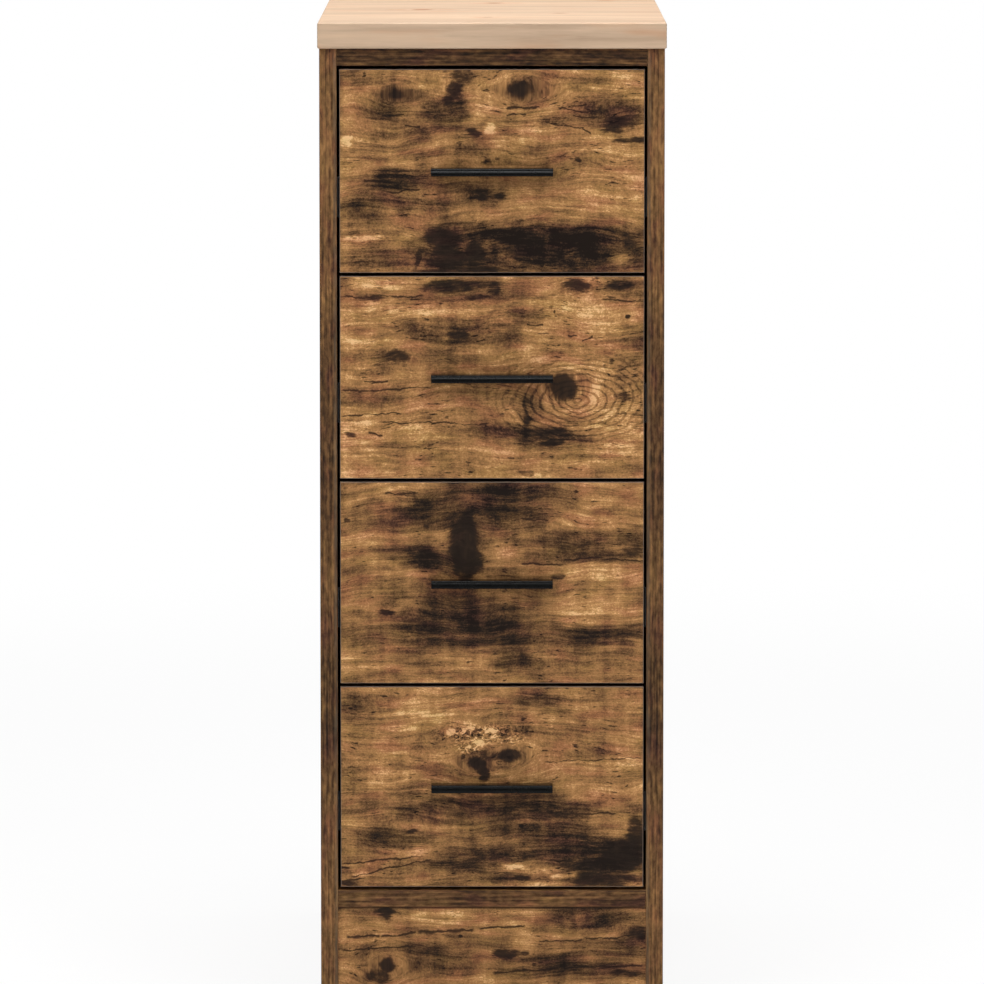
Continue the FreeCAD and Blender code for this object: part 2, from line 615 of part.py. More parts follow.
def carcass_screws():
    """Worktop screws, back panel nails and the wall brackets with their screws."""
    screw = pan_screw("worktop_screw", "worktop_screw_shank", "worktop_screw_length", True)
    spots = [(f"{x} - inner_width / 2", f"front_plane + {y}", "opening_roof")
             for x, y in WORKTOP_SCREW_PLACES]
    keep(group("worktop_screws", copies(screw, spots)), "worktop_screws")
    nail = new_body("back_panel_nail")
    turn(nail, [(0, "-nail_head_height"), ("nail_head / 2", "-nail_head_height"),
                ("nail_head / 2", 0), ("nail_shank / 2", 0),
                ("nail_shank / 2", "nail_length - nail_shank"), (0, "nail_length")])
    spots = [(f"{x} - inner_width / 2", "front_plane + panel_depth + back_thickness", z)
             for x in NAIL_PLACES for z in PANEL_LEVELS]
    keep(group("back_panel_nails", copies(nail, spots, (0, 0, 90))), "back_panel_nails")
    bracket = new_body("wall_bracket")
    section = new_sketch(bracket, "YZ_Plane")
    draw_outline(section, [(0, 0), (0, "-bracket_leg"), ("-bracket_sheet", "-bracket_leg"),
                           ("-bracket_sheet", "-bracket_sheet"),
                           ("-bracket_leg", "-bracket_sheet"), ("-bracket_leg", 0)])
    pad(bracket, section, "bracket_width", midplane=True)
    drill(bracket, "XY_Plane", [(0, "-bracket_hole")], "bracket_screw_shank + 2 * hole_play",
          "bracket_sheet")
    drill(bracket, "XZ_Plane", [(0, "-bracket_hole")], "wall_screw_hole", "bracket_sheet",
          along_normal=True)
    screw = pan_screw("bracket_screw", "bracket_screw_shank", "bracket_screw_length", True)
    back = "front_plane + panel_depth"
    xs = [f"{x} - inner_width / 2" for x in BRACKET_PLACES]
    keep(group("wall_brackets", copies(bracket, [(x, back, "opening_roof") for x in xs])),
         "wall_brackets")
    spots = [(x, f"{back} - bracket_hole", "opening_roof - bracket_sheet") for x in xs]
    keep(group("wall_bracket_screws", copies(screw, spots)), "wall_bracket_screws")


def floor_glides():
    """Moulded glides, pressed by their pegs into the lower edges of the sides."""
    glide = new_body("floor_glide")
    foot = new_sketch(glide, "XZ_Plane")
    half = "glide_width / 2"
    draw_outline(foot, [(f"glide_round - {half}", 0), (f"{half} - glide_round", 0),
                        (half, "glide_round"), (half, "glide_height"),
                        (f"-{half}", "glide_height"), (f"-{half}", "glide_round")])
    pad(glide, foot, "glide_length", midplane=True)
    peg = new_sketch(glide, "XY_Plane", "glide_height")
    draw_circles(peg, [(0, 0)], "peg_diameter")
    pad(glide, peg, "peg_length")
    spots = [(f"{x} - carcass_width / 2", f"front_plane + {y}", 0) for x, y in glide_places()]
    pair("floor_glides", copies(glide, spots))


def race_section(sketch, web_outer, web_inner, turned):
    """Half-open channel of a runner member, its two flanges curled round the balls.

    The web lies between web_outer and web_inner. A cabinet member (turned = 1) holds the
    balls from outside; a drawer member (turned = -1) holds them from inside.
    """
    lip_out = f"ball_offset + ({turned}) * race_outer"
    lip_in = f"ball_offset + ({turned}) * race_inner"
    far = f"ball_level + ({turned}) * race_outer"
    near = f"ball_level + ({turned}) * race_inner"
    end = f"ball_level - ({turned}) * race_lip"
    upper = [(web_outer, far), (lip_out, far, "race_outer"), (lip_out, end),
             (lip_in, end), (lip_in, near, "race_inner"), (web_inner, near)]
    if turned < 0:
        upper = [(web_outer, near), (lip_in, near, "race_inner"), (lip_in, end),
                 (lip_out, end), (lip_out, far, "race_outer"), (web_inner, far)]
    lower = [(x, f"-({z})", *rest) for x, z, *rest in reversed(upper)]
    draw_outline(sketch, upper + lower)


def countersink_row(body, face, deeper, places):
    """Countersunk holes through a runner web; the head's flat lies in the plane x = face."""
    for place_along in places:
        sketch = new_sketch(body, "XY_Plane")
        head = "runner_screw_head / 2 + hole_play"
        shank = "runner_screw_shank / 2 + hole_play"
        far = f"{face} + ({deeper}) * runner_sheet"
        draw_outline(sketch, [(face, place_along), (face, f"{place_along} + {head}"),
                              (far, f"{place_along} + {shank}"), (far, place_along)])
        groove = body.newObject("PartDesign::Groove", f"{body.Name}_countersink")
        groove.Profile = sketch
        groove.ReferenceAxis = (sketch, ["Edge4"])
        groove.Angle = 360


def runner_member(label, drawer, turned):
    """One member of the left runner of a drawer."""
    x = "-inner_width / 2"
    body = new_body(label, x, f"front_plane + {RUNNER_FRONT}", runner_level_of(drawer))
    section = new_sketch(body, "XZ_Plane")
    if turned > 0:
        race_section(section, "0", "runner_sheet", 1)
    else:
        race_section(section, "runner_width", "runner_width - runner_sheet", -1)
    pad(body, section, "runner_length", along_normal=False)
    if turned > 0:
        countersink_row(body, "runner_sheet", -1, CABINET_SCREWS)
    else:
        countersink_row(body, "runner_width - runner_sheet", 1, DRAWER_SCREWS)
    return body


def ball_cages(drawer, ball):
    """Strip cages that space the balls; they follow the drawer at half its speed."""
    y = f"front_plane + {RUNNER_FRONT} + cage_start"
    body = new_body(f"ball_cage_{drawer}", "-inner_width / 2", y, runner_level_of(drawer))
    section = new_sketch(body, "XZ_Plane")
    web = "runner_sheet + cage_gap"
    low = "ball_level + cage_rise"
    end = "ball_offset + cage_reach"
    upper = [(web, f"{low} + cage_sheet"), (end, f"{low} + cage_sheet"), (end, low),
             (f"{web} + cage_sheet", low)]
    lower = [(along, f"-({up})") for along, up in reversed(upper)]
    draw_outline(section, upper + lower)
    pad(body, section, "cage_length", along_normal=False)
    places = [f"ball_end + {number} * ball_pitch" for number in range(BALLS_IN_A_ROW)]
    holes = new_sketch(body, "XY_Plane")
    draw_circles(holes, [("ball_offset", place_along) for place_along in places],
                 "ball_diameter + 2 * ball_play")
    pocket(body, holes, "2 * runner_half_height", midplane=True)
    spots = [("ball_offset - inner_width / 2", f"{y} + {place_along}",
              f"{runner_level_of(drawer)} + ({side}) * ball_level")
             for place_along in places for side in (-1, 1)]
    pair(f"ball_cages_{drawer}", [body] + copies(ball, spots))


def drawer_front(drawer):
    label = f"drawer_{drawer}_front"
    body = new_body(label, "-front_width / 2", "front_plane", level_of(drawer))
    face = new_sketch(body, "XZ_Plane")
    draw_rectangle(face, (0, 0), ("front_width", "front_height"))
    pad(body, face, "front_thickness", along_normal=False)
    middle = "front_width / 2"
    drill(body, "XZ_Plane", [(f"{middle} + ({side}) * handle_spacing / 2", "front_height / 2")
                             for side in (-1, 1)],
          "handle_screw_shank + 2 * hole_play", "front_thickness", along_normal=False)
    side_middle = "(box_width - box_board) / 2"
    bolts = [(f"{middle} + ({side}) * {side_middle}", f"box_lift + {z}")
             for side in (-1, 1) for z in SMALL_CAM_LEVELS]
    drill(body, "XZ_Plane", bolts, "bolt_thread + 2 * hole_play",
          "bolt_thread_length + hole_spare", "-front_thickness", along_normal=True)
    groove = new_sketch(body, "XZ_Plane", "-front_thickness")
    low = "box_lift + bottom_lift - groove_play"
    half = "(bottom_width / 2 + groove_play)"
    draw_rectangle(groove, (f"{middle} - {half}", low),
                   (f"{middle} + {half}", f"{low} + bottom_thickness + 2 * groove_play"))
    pocket(body, groove, "groove_depth", along_normal=True)
    bevel_front(body, "arris")
    keep(body, label)


def drawer_side(drawer):
    """Left drawer side: cam locks and groove inside, runner screws outside."""
    label = f"drawer_{drawer}_left_side"
    body = new_body(label, "-box_width / 2", "front_plane + front_thickness", box_level_of(drawer))
    face = new_sketch(body, "YZ_Plane")
    draw_rectangle(face, (0, 0), ("box_length", "box_height"))
    pad(body, face, "box_board")
    groove = new_sketch(body, "YZ_Plane", "box_board")
    low = "bottom_lift - groove_play"
    draw_rectangle(groove, (0, low), ("box_length", f"{low} + bottom_thickness + 2 * groove_play"))
    pocket(body, groove, "groove_depth")
    drill(body, "YZ_Plane", [("small_cam_distance", z) for z in SMALL_CAM_LEVELS],
          "small_cam_diameter + 2 * cam_play", "small_cam_depth + cam_play", "box_board")
    drill(body, "XZ_Plane", [("box_board / 2", z) for z in SMALL_CAM_LEVELS], "bolt_bore",
          "small_cam_distance", along_normal=False)
    drill(body, "YZ_Plane", [(f"runner_start + {y}", "runner_level") for y in DRAWER_SCREWS],
          "runner_screw_shank + 2 * hole_play",
          "runner_screw_length - runner_sheet + hole_spare", along_normal=True)
    for z in BACK_SCREW_LEVELS:
        sketch = new_sketch(body, "XZ_Plane", "-(box_length - box_board / 2)")
        head = "box_screw_head / 2 + hole_play"
        shank = "box_screw_shank / 2 + hole_play"
        cone = "(box_screw_head - box_screw_shank) / 2"
        draw_outline(sketch, [(0, z), ("box_board", z), ("box_board", f"{z} + {shank}"),
                              (cone, f"{z} + {shank}"), (0, f"{z} + {head}")])
        groove = body.newObject("PartDesign::Groove", f"{body.Name}_screw_hole")
        groove.Profile = sketch
        groove.ReferenceAxis = (sketch, ["Edge1"])
        groove.Angle = 360
    keep(body, label)
    keep(mirrored(body, f"drawer_{drawer}_right_side"), f"drawer_{drawer}_right_side")


def drawer_back(drawer):
    label = f"drawer_{drawer}_back"
    rise = "bottom_lift + bottom_thickness"
    body = new_body(label, "-box_inner_width / 2",
                    "front_plane + front_thickness + box_length - box_board",
                    f"{box_level_of(drawer)} + {rise}")
    face = new_sketch(body, "XZ_Plane")
    draw_rectangle(face, (0, 0), ("box_inner_width", "box_back_height"))
    pad(body, face, "box_board", along_normal=False)
    centres = [("box_board / 2", f"{z} - ({rise})") for z in BACK_SCREW_LEVELS]
    depth = "box_screw_length - box_board + hole_spare"
    diameter = "box_screw_shank + 2 * hole_play"
    drill(body, "YZ_Plane", centres, diameter, depth, along_normal=True)
    drill(body, "YZ_Plane", centres, diameter, depth, "box_inner_width")
    keep(body, label)


def drawer_bottom(drawer):
    label = f"drawer_{drawer}_bottom"
    body = new_body(label, "-bottom_width / 2",
                    "front_plane + front_thickness - groove_depth + groove_play",
                    f"{box_level_of(drawer)} + bottom_lift")
    face = new_sketch(body, "XY_Plane")
    draw_rectangle(face, (0, 0), ("bottom_width", "bottom_length"))
    pad(body, face, "bottom_thickness")
    keep(body, label)


def drawer_handle(drawer):
    """Black pull: a flat top web, a rounded down-turned lip and a screw boss at each end."""
    label = f"drawer_{drawer}_handle"
    body = new_body(label, 0, "front_plane", f"{level_of(drawer)} + front_height / 2")
    section = new_sketch(body, "YZ_Plane")
    under = "handle_above - handle_web"
    draw_outline(section, [(0, "handle_above"),
                           ("-handle_reach", "handle_above", "nose_radius"),
                           ("-handle_reach", "-handle_below", "lip_radius"),
                           ("handle_lip - handle_reach", "-handle_below", "lip_radius"),
                           ("handle_lip - handle_reach", under, "lip_radius"),
                           (0, under)])
    pad(body, section, "handle_length", midplane=True)
    for side in (-1, 1):
        boss = new_sketch(body, "XZ_Plane")
        inner = f"({side}) * (handle_spacing - handle_boss) / 2"
        outer = f"({side}) * (handle_spacing + handle_boss) / 2"
        low, high = (outer, inner) if side < 0 else (inner, outer)
        draw_rectangle(boss, (low, "-handle_below"), (high, "handle_above - handle_web / 2"))
        pad(body, boss, "boss_depth")
    drill(body, "XZ_Plane", [(f"({side}) * handle_spacing / 2", 0) for side in (-1, 1)],
          "handle_screw_shank + 2 * hole_play", "handle_thread", along_normal=True)
    keep(body, label)


def drawer_fixings(drawer, blanks):
    """Screws, cam bolts and cam locks that travel with one drawer."""
    handle_screw, bolt, lock, box_screw, runner_screw = blanks
    base = box_level_of(drawer)
    back = "front_plane + front_thickness"
    side_middle = "-(box_width - box_board) / 2"
    left = copies(handle_screw, [("-handle_spacing / 2", back,
                                  f"{level_of(drawer)} + front_height / 2")], (0, 0, 90))
    left += copies(bolt, [(side_middle, back, f"{base} + {z}") for z in SMALL_CAM_LEVELS],
                   (0, 0, -90))
    left += copies(lock, [("box_board - box_width / 2", f"{back} + small_cam_distance",
                           f"{base} + {z}") for z in SMALL_CAM_LEVELS], (90, 0, -90))
    left += copies(box_screw, [("-box_width / 2", f"{back} + box_length - box_board / 2",
                                f"{base} + {z}") for z in BACK_SCREW_LEVELS], (0, 90, 0))
    left += copies(runner_screw, [("runner_width - runner_sheet - inner_width / 2",
                                   f"{back} + runner_start + {y}", runner_level_of(drawer))
                                  for y in DRAWER_SCREWS], (0, 90, 0))
    pair(f"drawer_{drawer}_fixings", left)


def drawers():
    handle_screw = pan_screw("handle_screw", "handle_screw_shank", "handle_screw_length", False)
    bolt = cam_bolt("drawer_cam_bolt", "small_cam_distance")
    lock = cam_lock("drawer_cam_lock", "small_cam_diameter", "small_cam_depth", "box_board / 2")
    box_screw = countersunk_screw("drawer_back_screw", "box_screw_shank", "box_screw_head",
                                  "box_screw_length", "(box_screw_head - box_screw_shank) / 2")
    runner_screw = countersunk_screw("runner_screw", "runner_screw_shank", "runner_screw_head",
                                     "runner_screw_length", "runner_sheet")
    blanks = (handle_screw, bolt, lock, box_screw, runner_screw)
    ball = doc.addObject("Part::Sphere", "bearing_ball")
    bind(ball, "Radius", "ball_diameter / 2")
    screws = []
    for drawer in range(1, DRAWERS + 1):
        drawer_front(drawer)
        drawer_side(drawer)
        drawer_back(drawer)
        drawer_bottom(drawer)
        drawer_handle(drawer)
        drawer_fixings(drawer, blanks)
        pair(f"cabinet_runners_{drawer}", [runner_member(f"cabinet_runner_{drawer}", drawer, 1)])
        pair(f"drawer_{drawer}_runners", [runner_member(f"drawer_runner_{drawer}", drawer, -1)])
        ball_cages(drawer, ball)
        screws += copies(runner_screw, [("runner_sheet - inner_width / 2",
                                         f"front_plane + {RUNNER_FRONT} + {y}",
                                         runner_level_of(drawer)) for y in CABINET_SCREWS],
                         (0, -90, 0))
    pair("cabinet_runner_screws", screws)


def check_and_write():
    """Stops on any failed feature or empty shape, then writes one file per node."""
    doc.recompute()
    for thing in doc.Objects:
        if "Invalid" in thing.State or "Error" in thing.State:
            raise RuntimeError(f"{thing.Name} did not rebuild: {thing.State}")
    for node in nodes:
        if node.Shape.isNull() or not node.Shape.isValid() or not node.Shape.Solids:
            raise RuntimeError(f"{node.Label} has no valid solid")
    os.makedirs("parts", exist_ok=True)
    for node in nodes:
        node.Shape.exportStep(f"parts/{node.Label}.step")
        print(node.Label, len(node.Shape.Solids), round(node.Shape.Volume, 1))


fill_sheet()
side_panel()
carcass_panel("top_panel", "opening_roof")
carcass_panel("bottom_panel", "base_height")
base_board("plinth_board", "plinth_setback")
base_board("rear_base_rail", "panel_depth - board")
back_panel()
worktop()
carcass_fittings()
carcass_screws()
floor_glides()
drawers()
check_and_write()
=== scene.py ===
# %% [markdown]
# # A drawer cabinet in printed old wood, with a pine worktop
# The cabinet's boards, runners and screws come ready-made as solid nodes at their real place and
# size. This script gives each of them its finish, turns the larger screws anew with a cross recess,
# and sets up the light, the floor and the camera. Lengths are in metres, and the patterns of the
# finishes count in millimetres.

# %% Load the cabinet
import math
from functools import partialmethod

import bpy
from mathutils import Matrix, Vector


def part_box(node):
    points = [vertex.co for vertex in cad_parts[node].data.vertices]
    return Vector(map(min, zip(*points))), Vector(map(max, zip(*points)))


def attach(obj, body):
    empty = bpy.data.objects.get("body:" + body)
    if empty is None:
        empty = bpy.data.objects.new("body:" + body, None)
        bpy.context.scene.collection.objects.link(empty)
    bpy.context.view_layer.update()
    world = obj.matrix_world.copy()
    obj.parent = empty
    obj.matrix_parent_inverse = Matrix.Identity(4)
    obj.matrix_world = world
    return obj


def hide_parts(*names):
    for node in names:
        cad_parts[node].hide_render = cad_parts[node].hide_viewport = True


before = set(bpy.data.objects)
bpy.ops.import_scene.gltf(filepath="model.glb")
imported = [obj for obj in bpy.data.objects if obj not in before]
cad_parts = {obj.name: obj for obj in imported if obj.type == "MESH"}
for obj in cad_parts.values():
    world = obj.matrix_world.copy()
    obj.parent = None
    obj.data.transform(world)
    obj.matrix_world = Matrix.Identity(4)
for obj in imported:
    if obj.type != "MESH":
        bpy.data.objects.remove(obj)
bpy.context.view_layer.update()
MM = 0.001
DRAWERS = (1, 2, 3, 4)

# %% [markdown]
# ## Places that the finishes need
# A pattern that belongs to one board, such as a knot in a drawer front, is placed from that board's
# own box. The front plane, the worktop and the pulls are read from the frame once, here.


# %% Read the places
def middle_and_half(node):
    """The middle of a node's box and half its size."""
    low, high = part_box(node)
    return (low + high) / 2, (high - low) / 2


front_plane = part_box("drawer_1_front")[0].y
worktop_low, worktop_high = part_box("worktop")
pull_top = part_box("drawer_4_handle")[1].z
pitch_of_drawers = (middle_and_half("drawer_3_front")[0] - middle_and_half("drawer_4_front")[0]).z
print("front plane", round(front_plane, 4), "pitch of the drawers", round(pitch_of_drawers, 4))

# %% [markdown]
# ## Colours as a maker would name them
# Colours are written as they look on a screen, from 0 to 255, and turned into the linear values
# that the shaders work with. Upright faces get about nine tenths of full light here, so a colour
# read off a lit front is divided by that share.

# %% Colour helper
FRONT_LIGHT = 0.90


def paint(red, green, blue, light=1.0):
    """A screen colour as linear RGBA, made lighter for a surface that gets less light."""
    def linear(level):
        level = level / 255
        return level / 12.92 if level <= 0.04045 else ((level + 0.055) / 1.055) ** 2.4
    return tuple(min(1.0, linear(level) / light) for level in (red, green, blue)) + (1.0,)


print("tan of the old wood", [round(v, 3) for v in paint(168, 122, 75, FRONT_LIGHT)])


# %% [markdown]
# ## Short words for nodes
# A shader, or a tree of geometry nodes, is a chain of small steps. This class lets each step be one
# line: it adds a node, feeds its inputs with numbers or with other steps, and hands back the output.

# %% Wiring class
class Wiring:
    """Adds nodes to one tree, with the last step's output as the result of each call."""

    def __init__(self, tree, name):
        self.tree = tree
        self.name = name

    def node(self, kind, **settings):
        made = self.tree.nodes.new(kind)
        made.location = (180 * len(self.tree.nodes), 0)
        for name, setting in settings.items():
            setattr(made, name, setting)
        return made

    def feed(self, socket, source):
        if isinstance(source, bpy.types.NodeSocket):
            self.tree.links.new(source, socket)
        elif source is not None:
            socket.default_value = source

    def math(self, operation, first, second=None, third=None):
        made = self.node("ShaderNodeMath", operation=operation)
        for socket, source in zip(made.inputs, (first, second, third)):
            self.feed(socket, source)
        return made.outputs[0]

    add = partialmethod(math, "ADD")
    less = partialmethod(math, "SUBTRACT")
    times = partialmethod(math, "MULTIPLY")
    share = partialmethod(math, "DIVIDE")
    most = partialmethod(math, "MAXIMUM")
    least = partialmethod(math, "MINIMUM")
    size = partialmethod(math, "ABSOLUTE")

    def squares(self, first, second):
        return self.add(self.times(first, first), self.times(second, second))

    def wave(self, turns):
        return self.math("SINE", self.times(turns, 2 * math.pi))

    def swing(self, pattern, reach):
        """A pattern from 0 to 1, turned into a push to either side."""
        return self.times(self.less(pattern, 0.5), reach)

    def span(self, source, low, high, to_low=0.0, to_high=1.0, smooth=True):
        """Carries the source from one range to another and holds it at the ends."""
        made = self.node("ShaderNodeMapRange", clamp=True)
        made.interpolation_type = "SMOOTHSTEP" if smooth else "LINEAR"
        for socket, number in zip(made.inputs, (source, low, high, to_low, to_high)):
            self.feed(socket, number)
        return made.outputs[0]

    def parts(self, vector):
        made = self.node("ShaderNodeSeparateXYZ")
        self.feed(made.inputs[0], vector)
        return made.outputs[0], made.outputs[1], made.outputs[2]

    def vector(self, x, y, z):
        made = self.node("ShaderNodeCombineXYZ")
        for socket, source in zip(made.inputs, (x, y, z)):
            self.feed(socket, source)
        return made.outputs[0]

    def noise(self, vector, scale=1.0, detail=3.0, rough=0.6, warp=0.0):
        made = self.node("ShaderNodeTexNoise", noise_dimensions="3D")
        self.feed(made.inputs["Vector"], vector)
        made.inputs["Scale"].default_value = scale
        made.inputs["Detail"].default_value = detail
        made.inputs["Roughness"].default_value = rough
        made.inputs["Distortion"].default_value = warp
        return made.outputs["Fac"]

    def stretched(self, place, per_mm, detail=3.0, rough=0.6):
        """Noise with its own number of changes per millimetre along X, Y and Z."""
        scaled = [self.times(part, changes) for part, changes in zip(place, per_mm)]
        return self.noise(self.vector(*scaled), 1.0, detail, rough)

    def layer(self, along, across, depth, per_along, per_across, shift=0.0, detail=2.0, rough=0.5,
              warp=0.0):
        """Noise on a board, with its own number of changes per millimetre along and across."""
        place = self.vector(self.times(along, per_along), self.add(depth, shift),
                            self.times(across, per_across))
        return self.noise(place, 1.0, detail, rough, warp)

    def ramp(self, source, stops, light=1.0):
        """A colour for each value; stops are (place, screen colour)."""
        made = self.node("ShaderNodeValToRGB")
        band = made.color_ramp
        while len(band.elements) < len(stops):
            band.elements.new(0.5)
        for element, (place, colour) in zip(band.elements, stops):
            element.position = place
            element.color = paint(*colour, light)
        self.feed(made.inputs[0], source)
        return made.outputs[0]

    def blend(self, amount, first, second, kind="MIX"):
        made = self.node("ShaderNodeMix", data_type="RGBA", blend_type=kind)
        self.feed(made.inputs["Factor"], amount)
        self.feed(made.inputs[6], first)
        self.feed(made.inputs[7], second)
        return made.outputs[2]

    def choose(self, amount, first, second):
        """A number: the first where amount is 0, the second where it is 1."""
        made = self.node("ShaderNodeMix", data_type="FLOAT")
        self.feed(made.inputs[0], amount)
        self.feed(made.inputs[2], first)
        self.feed(made.inputs[3], second)
        return made.outputs[0]

    def relief(self, height, depth, strength=1.0):
        made = self.node("ShaderNodeBump")
        made.inputs["Strength"].default_value = strength
        made.inputs["Distance"].default_value = depth
        self.feed(made.inputs["Height"], height)
        return made.outputs[0]

    def place(self):
        """Where a surface point is in the cabinet's frame, in millimetres."""
        made = self.node("ShaderNodeTexCoord")
        scaled = self.node("ShaderNodeVectorMath", operation="SCALE")
        self.feed(scaled.inputs[0], made.outputs["Object"])
        scaled.inputs["Scale"].default_value = 1 / MM
        return scaled.outputs[0]

    def use(self, group, **sources):
        """Places a shared group; inputs are named with _ for a space."""
        made = self.node("ShaderNodeGroup", node_tree=group)
        for name, source in sources.items():
            source = float(source) if isinstance(source, int) else source
            self.feed(made.inputs[name.replace("_", " ")], source)
        return made.outputs


# %% Groups and materials
def new_group(name, inputs, outputs, vectors=()):
    """An empty shared group with its wiring, input sockets and output node. Its sockets are numbers,
    apart from inputs named in vectors and outputs with Colour in their name."""
    group = bpy.data.node_groups.new(name, "ShaderNodeTree")
    for label in inputs:
        kind = "NodeSocketVector" if label in vectors else "NodeSocketFloat"
        group.interface.new_socket(label, in_out="INPUT", socket_type=kind)
    for label in outputs:
        kind = "NodeSocketColor" if "Colour" in label else "NodeSocketFloat"
        group.interface.new_socket(label, in_out="OUTPUT", socket_type=kind)
    wires = Wiring(group, name)
    return group, wires, wires.node("NodeGroupInput").outputs, wires.node("NodeGroupOutput").inputs


def new_material(name):
    """A material with a Principled shader; returns it with its wiring and the shader's inputs."""
    material = bpy.data.materials.new(name)
    material.use_nodes = True
    tree = material.node_tree
    return material, Wiring(tree, name), tree.nodes["Principled BSDF"].inputs


def finish_with(g, shader, colour, roughness, normal, **constants):
    """Feeds a shader's colour, roughness and normal, and sets constants named with _ for a space."""
    g.feed(shader["Base Color"], colour)
    g.feed(shader["Roughness"], roughness)
    g.feed(shader["Normal"], normal)
    for name, number in constants.items():
        shader[name.replace("_", " ")].default_value = number
    print(g.name, len(g.tree.nodes), "nodes")


def dress(node, material):
    """Gives every material slot of a ready-made node the same finish."""
    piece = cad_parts[node]
    if not piece.data.materials:
        piece.data.materials.append(material)
    for slot in piece.material_slots:
        slot.material = material


# %% [markdown]
# ## The printed old wood: grain
# The boards are faced with foil printed as weathered, stained planks. Its picture is built in layers:
# wide clouds, patches and long streaks that wander a little and part round knots, fine fibres, a
# grit of specks, and short dark dashes in places. One group makes these for a board whose grain runs
# along its first direction. It gives out how much lighter or darker than its board a point is.
# Distances inside it are in millimetres.

# %% Group: old wood grain
grain_group, g, given, out = new_group(
    "old wood grain", ("Along", "Across", "Depth", "Part"), ("Tone", "Lines", "Bent", "Hue"))
along, across, depth = given["Along"], given["Across"], given["Depth"]
bent = g.add(g.add(across, g.swing(g.layer(along, across, depth, 0.010, 0.022), 26.0)), given["Part"])
tone = 0.0
for weight, per_along, per_across, detail, rough in (
        (0.75, 0.012, 0.022, 3.0, 0.50), (1.05, 0.040, 0.085, 5.0, 0.62),
        (0.65, 0.009, 0.240, 2.0, 0.50), (0.35, 0.130, 0.013, 2.0, 0.50),
        (0.45, 0.040, 0.800, 2.0, 0.50), (0.45, 0.450, 0.750, 2.0, 0.50),
        (0.40, 0.900, 1.200, 1.0, 0.50)):
    pattern = g.layer(along, bent, depth, per_along, per_across, per_along * 40, detail, rough)
    tone = g.add(tone, g.swing(pattern, weight))
dashes = g.span(g.layer(along, bent, depth, 0.130, 0.600, 7.0, 1.0), 0.63, 0.71)
dash_places = g.span(g.layer(along, across, depth, 0.030, 0.050, 2.0), 0.46, 0.58)
g.feed(out["Tone"], g.less(tone, g.times(g.times(dashes, dash_places), 0.40)))
g.feed(out["Lines"], g.layer(along, bent, depth, 0.060, 1.100, 2.4, 3.0, 0.6))
g.feed(out["Bent"], bent)
g.feed(out["Hue"], g.layer(along, bent, depth, 0.028, 0.080, 5.0))
print(g.name, len(g.tree.nodes), "nodes")

# %% [markdown]
# ## The printed old wood: burns, smoke, cracks and knots
# Dark marks are scattered over the print, and one tells the drawers apart by them. A mark is a soft
# oval round its middle. Ovals for burnt wood only raise the chance of black: noise that runs with
# the grain breaks them up, which gives them torn outlines and pale threads. Ovals for smoke darken
# the tone softly, and pale ovals lighten it. Cracks are thin wavy lines between two points, rings
# surround a large knot, and the grain parts round every knot.

# %% Group: a soft oval
oval_group, g, given, out = new_group(
    "soft oval", ("Place", "So Far", "Scale", "Offset", "Strength"), ("Mask",),
    vectors=("Place", "Scale", "Offset"))
measured = g.node("ShaderNodeVectorMath", operation="MULTIPLY_ADD")
for socket, name in zip(measured.inputs, ("Place", "Scale", "Offset")):
    g.feed(socket, given[name])
far = g.node("ShaderNodeVectorMath", operation="LENGTH")
g.feed(far.inputs[0], measured.outputs[0])
inside = g.times(g.span(far.outputs["Value"], 1.65, 0.45), given["Strength"])
g.feed(out["Mask"], g.most(given["So Far"], inside))
print(g.name, len(g.tree.nodes), "nodes")

# %% Group: torn edges
torn_group, g, given, out = new_group(
    "torn edges", ("Along", "Across", "Bent", "Depth"),
    ("Uneven", "Shifted Along", "Shifted Across", "Waved Across", "Thinning"))
along, across, bent, depth = given["Along"], given["Across"], given["Bent"], given["Depth"]
torn = g.layer(along, bent, depth, 0.040, 0.085, 11.0, 6.0, 0.68, 0.25)
threads = g.layer(along, bent, depth, 0.110, 0.650, 13.0, 3.0, 0.6)
g.feed(out["Uneven"], g.add(g.swing(torn, 2.0), g.swing(threads, 1.1)))
for name, source, shift, reach in (("Along", along, 17.0, 16.0), ("Across", across, 19.0, 9.0)):
    push = g.swing(g.layer(along, across, depth, 0.045, 0.070, shift, 3.0, 0.6), reach)
    g.feed(out["Shifted " + name], g.add(source, push))
wavy = g.swing(g.layer(along, across, depth, 0.070, 0.020, 23.0, 3.0, 0.6), 7.0)
g.feed(out["Waved Across"], g.less(across, wavy))
thin = g.layer(along, across, depth, 0.110, 0.100, 29.0)
g.feed(out["Thinning"], g.span(thin, 0.30, 0.68, 0.35, 1.15))
print(g.name, len(g.tree.nodes), "nodes")

# %% Group: one crack
crack_group, g, given, out = new_group(
    "dark crack", ("Along", "Waved Across", "Thinning", "So Far", "Middle Along", "Middle Across",
                   "Half Length", "Slope", "Half Width"), ("Mask",))
past_middle = g.less(given["Along"], given["Middle Along"])
line = g.math("MULTIPLY_ADD", past_middle, given["Slope"], given["Middle Across"])
off = g.size(g.less(given["Waved Across"], line))
near = g.span(g.share(off, g.times(given["Half Width"], given["Thinning"])), 1.60, 0.20)
inside = g.span(g.share(g.size(past_middle), given["Half Length"]), 1.02, 0.88)
g.feed(out["Mask"], g.most(given["So Far"], g.times(g.times(near, inside), 0.86)))
print(g.name, len(g.tree.nodes), "nodes")

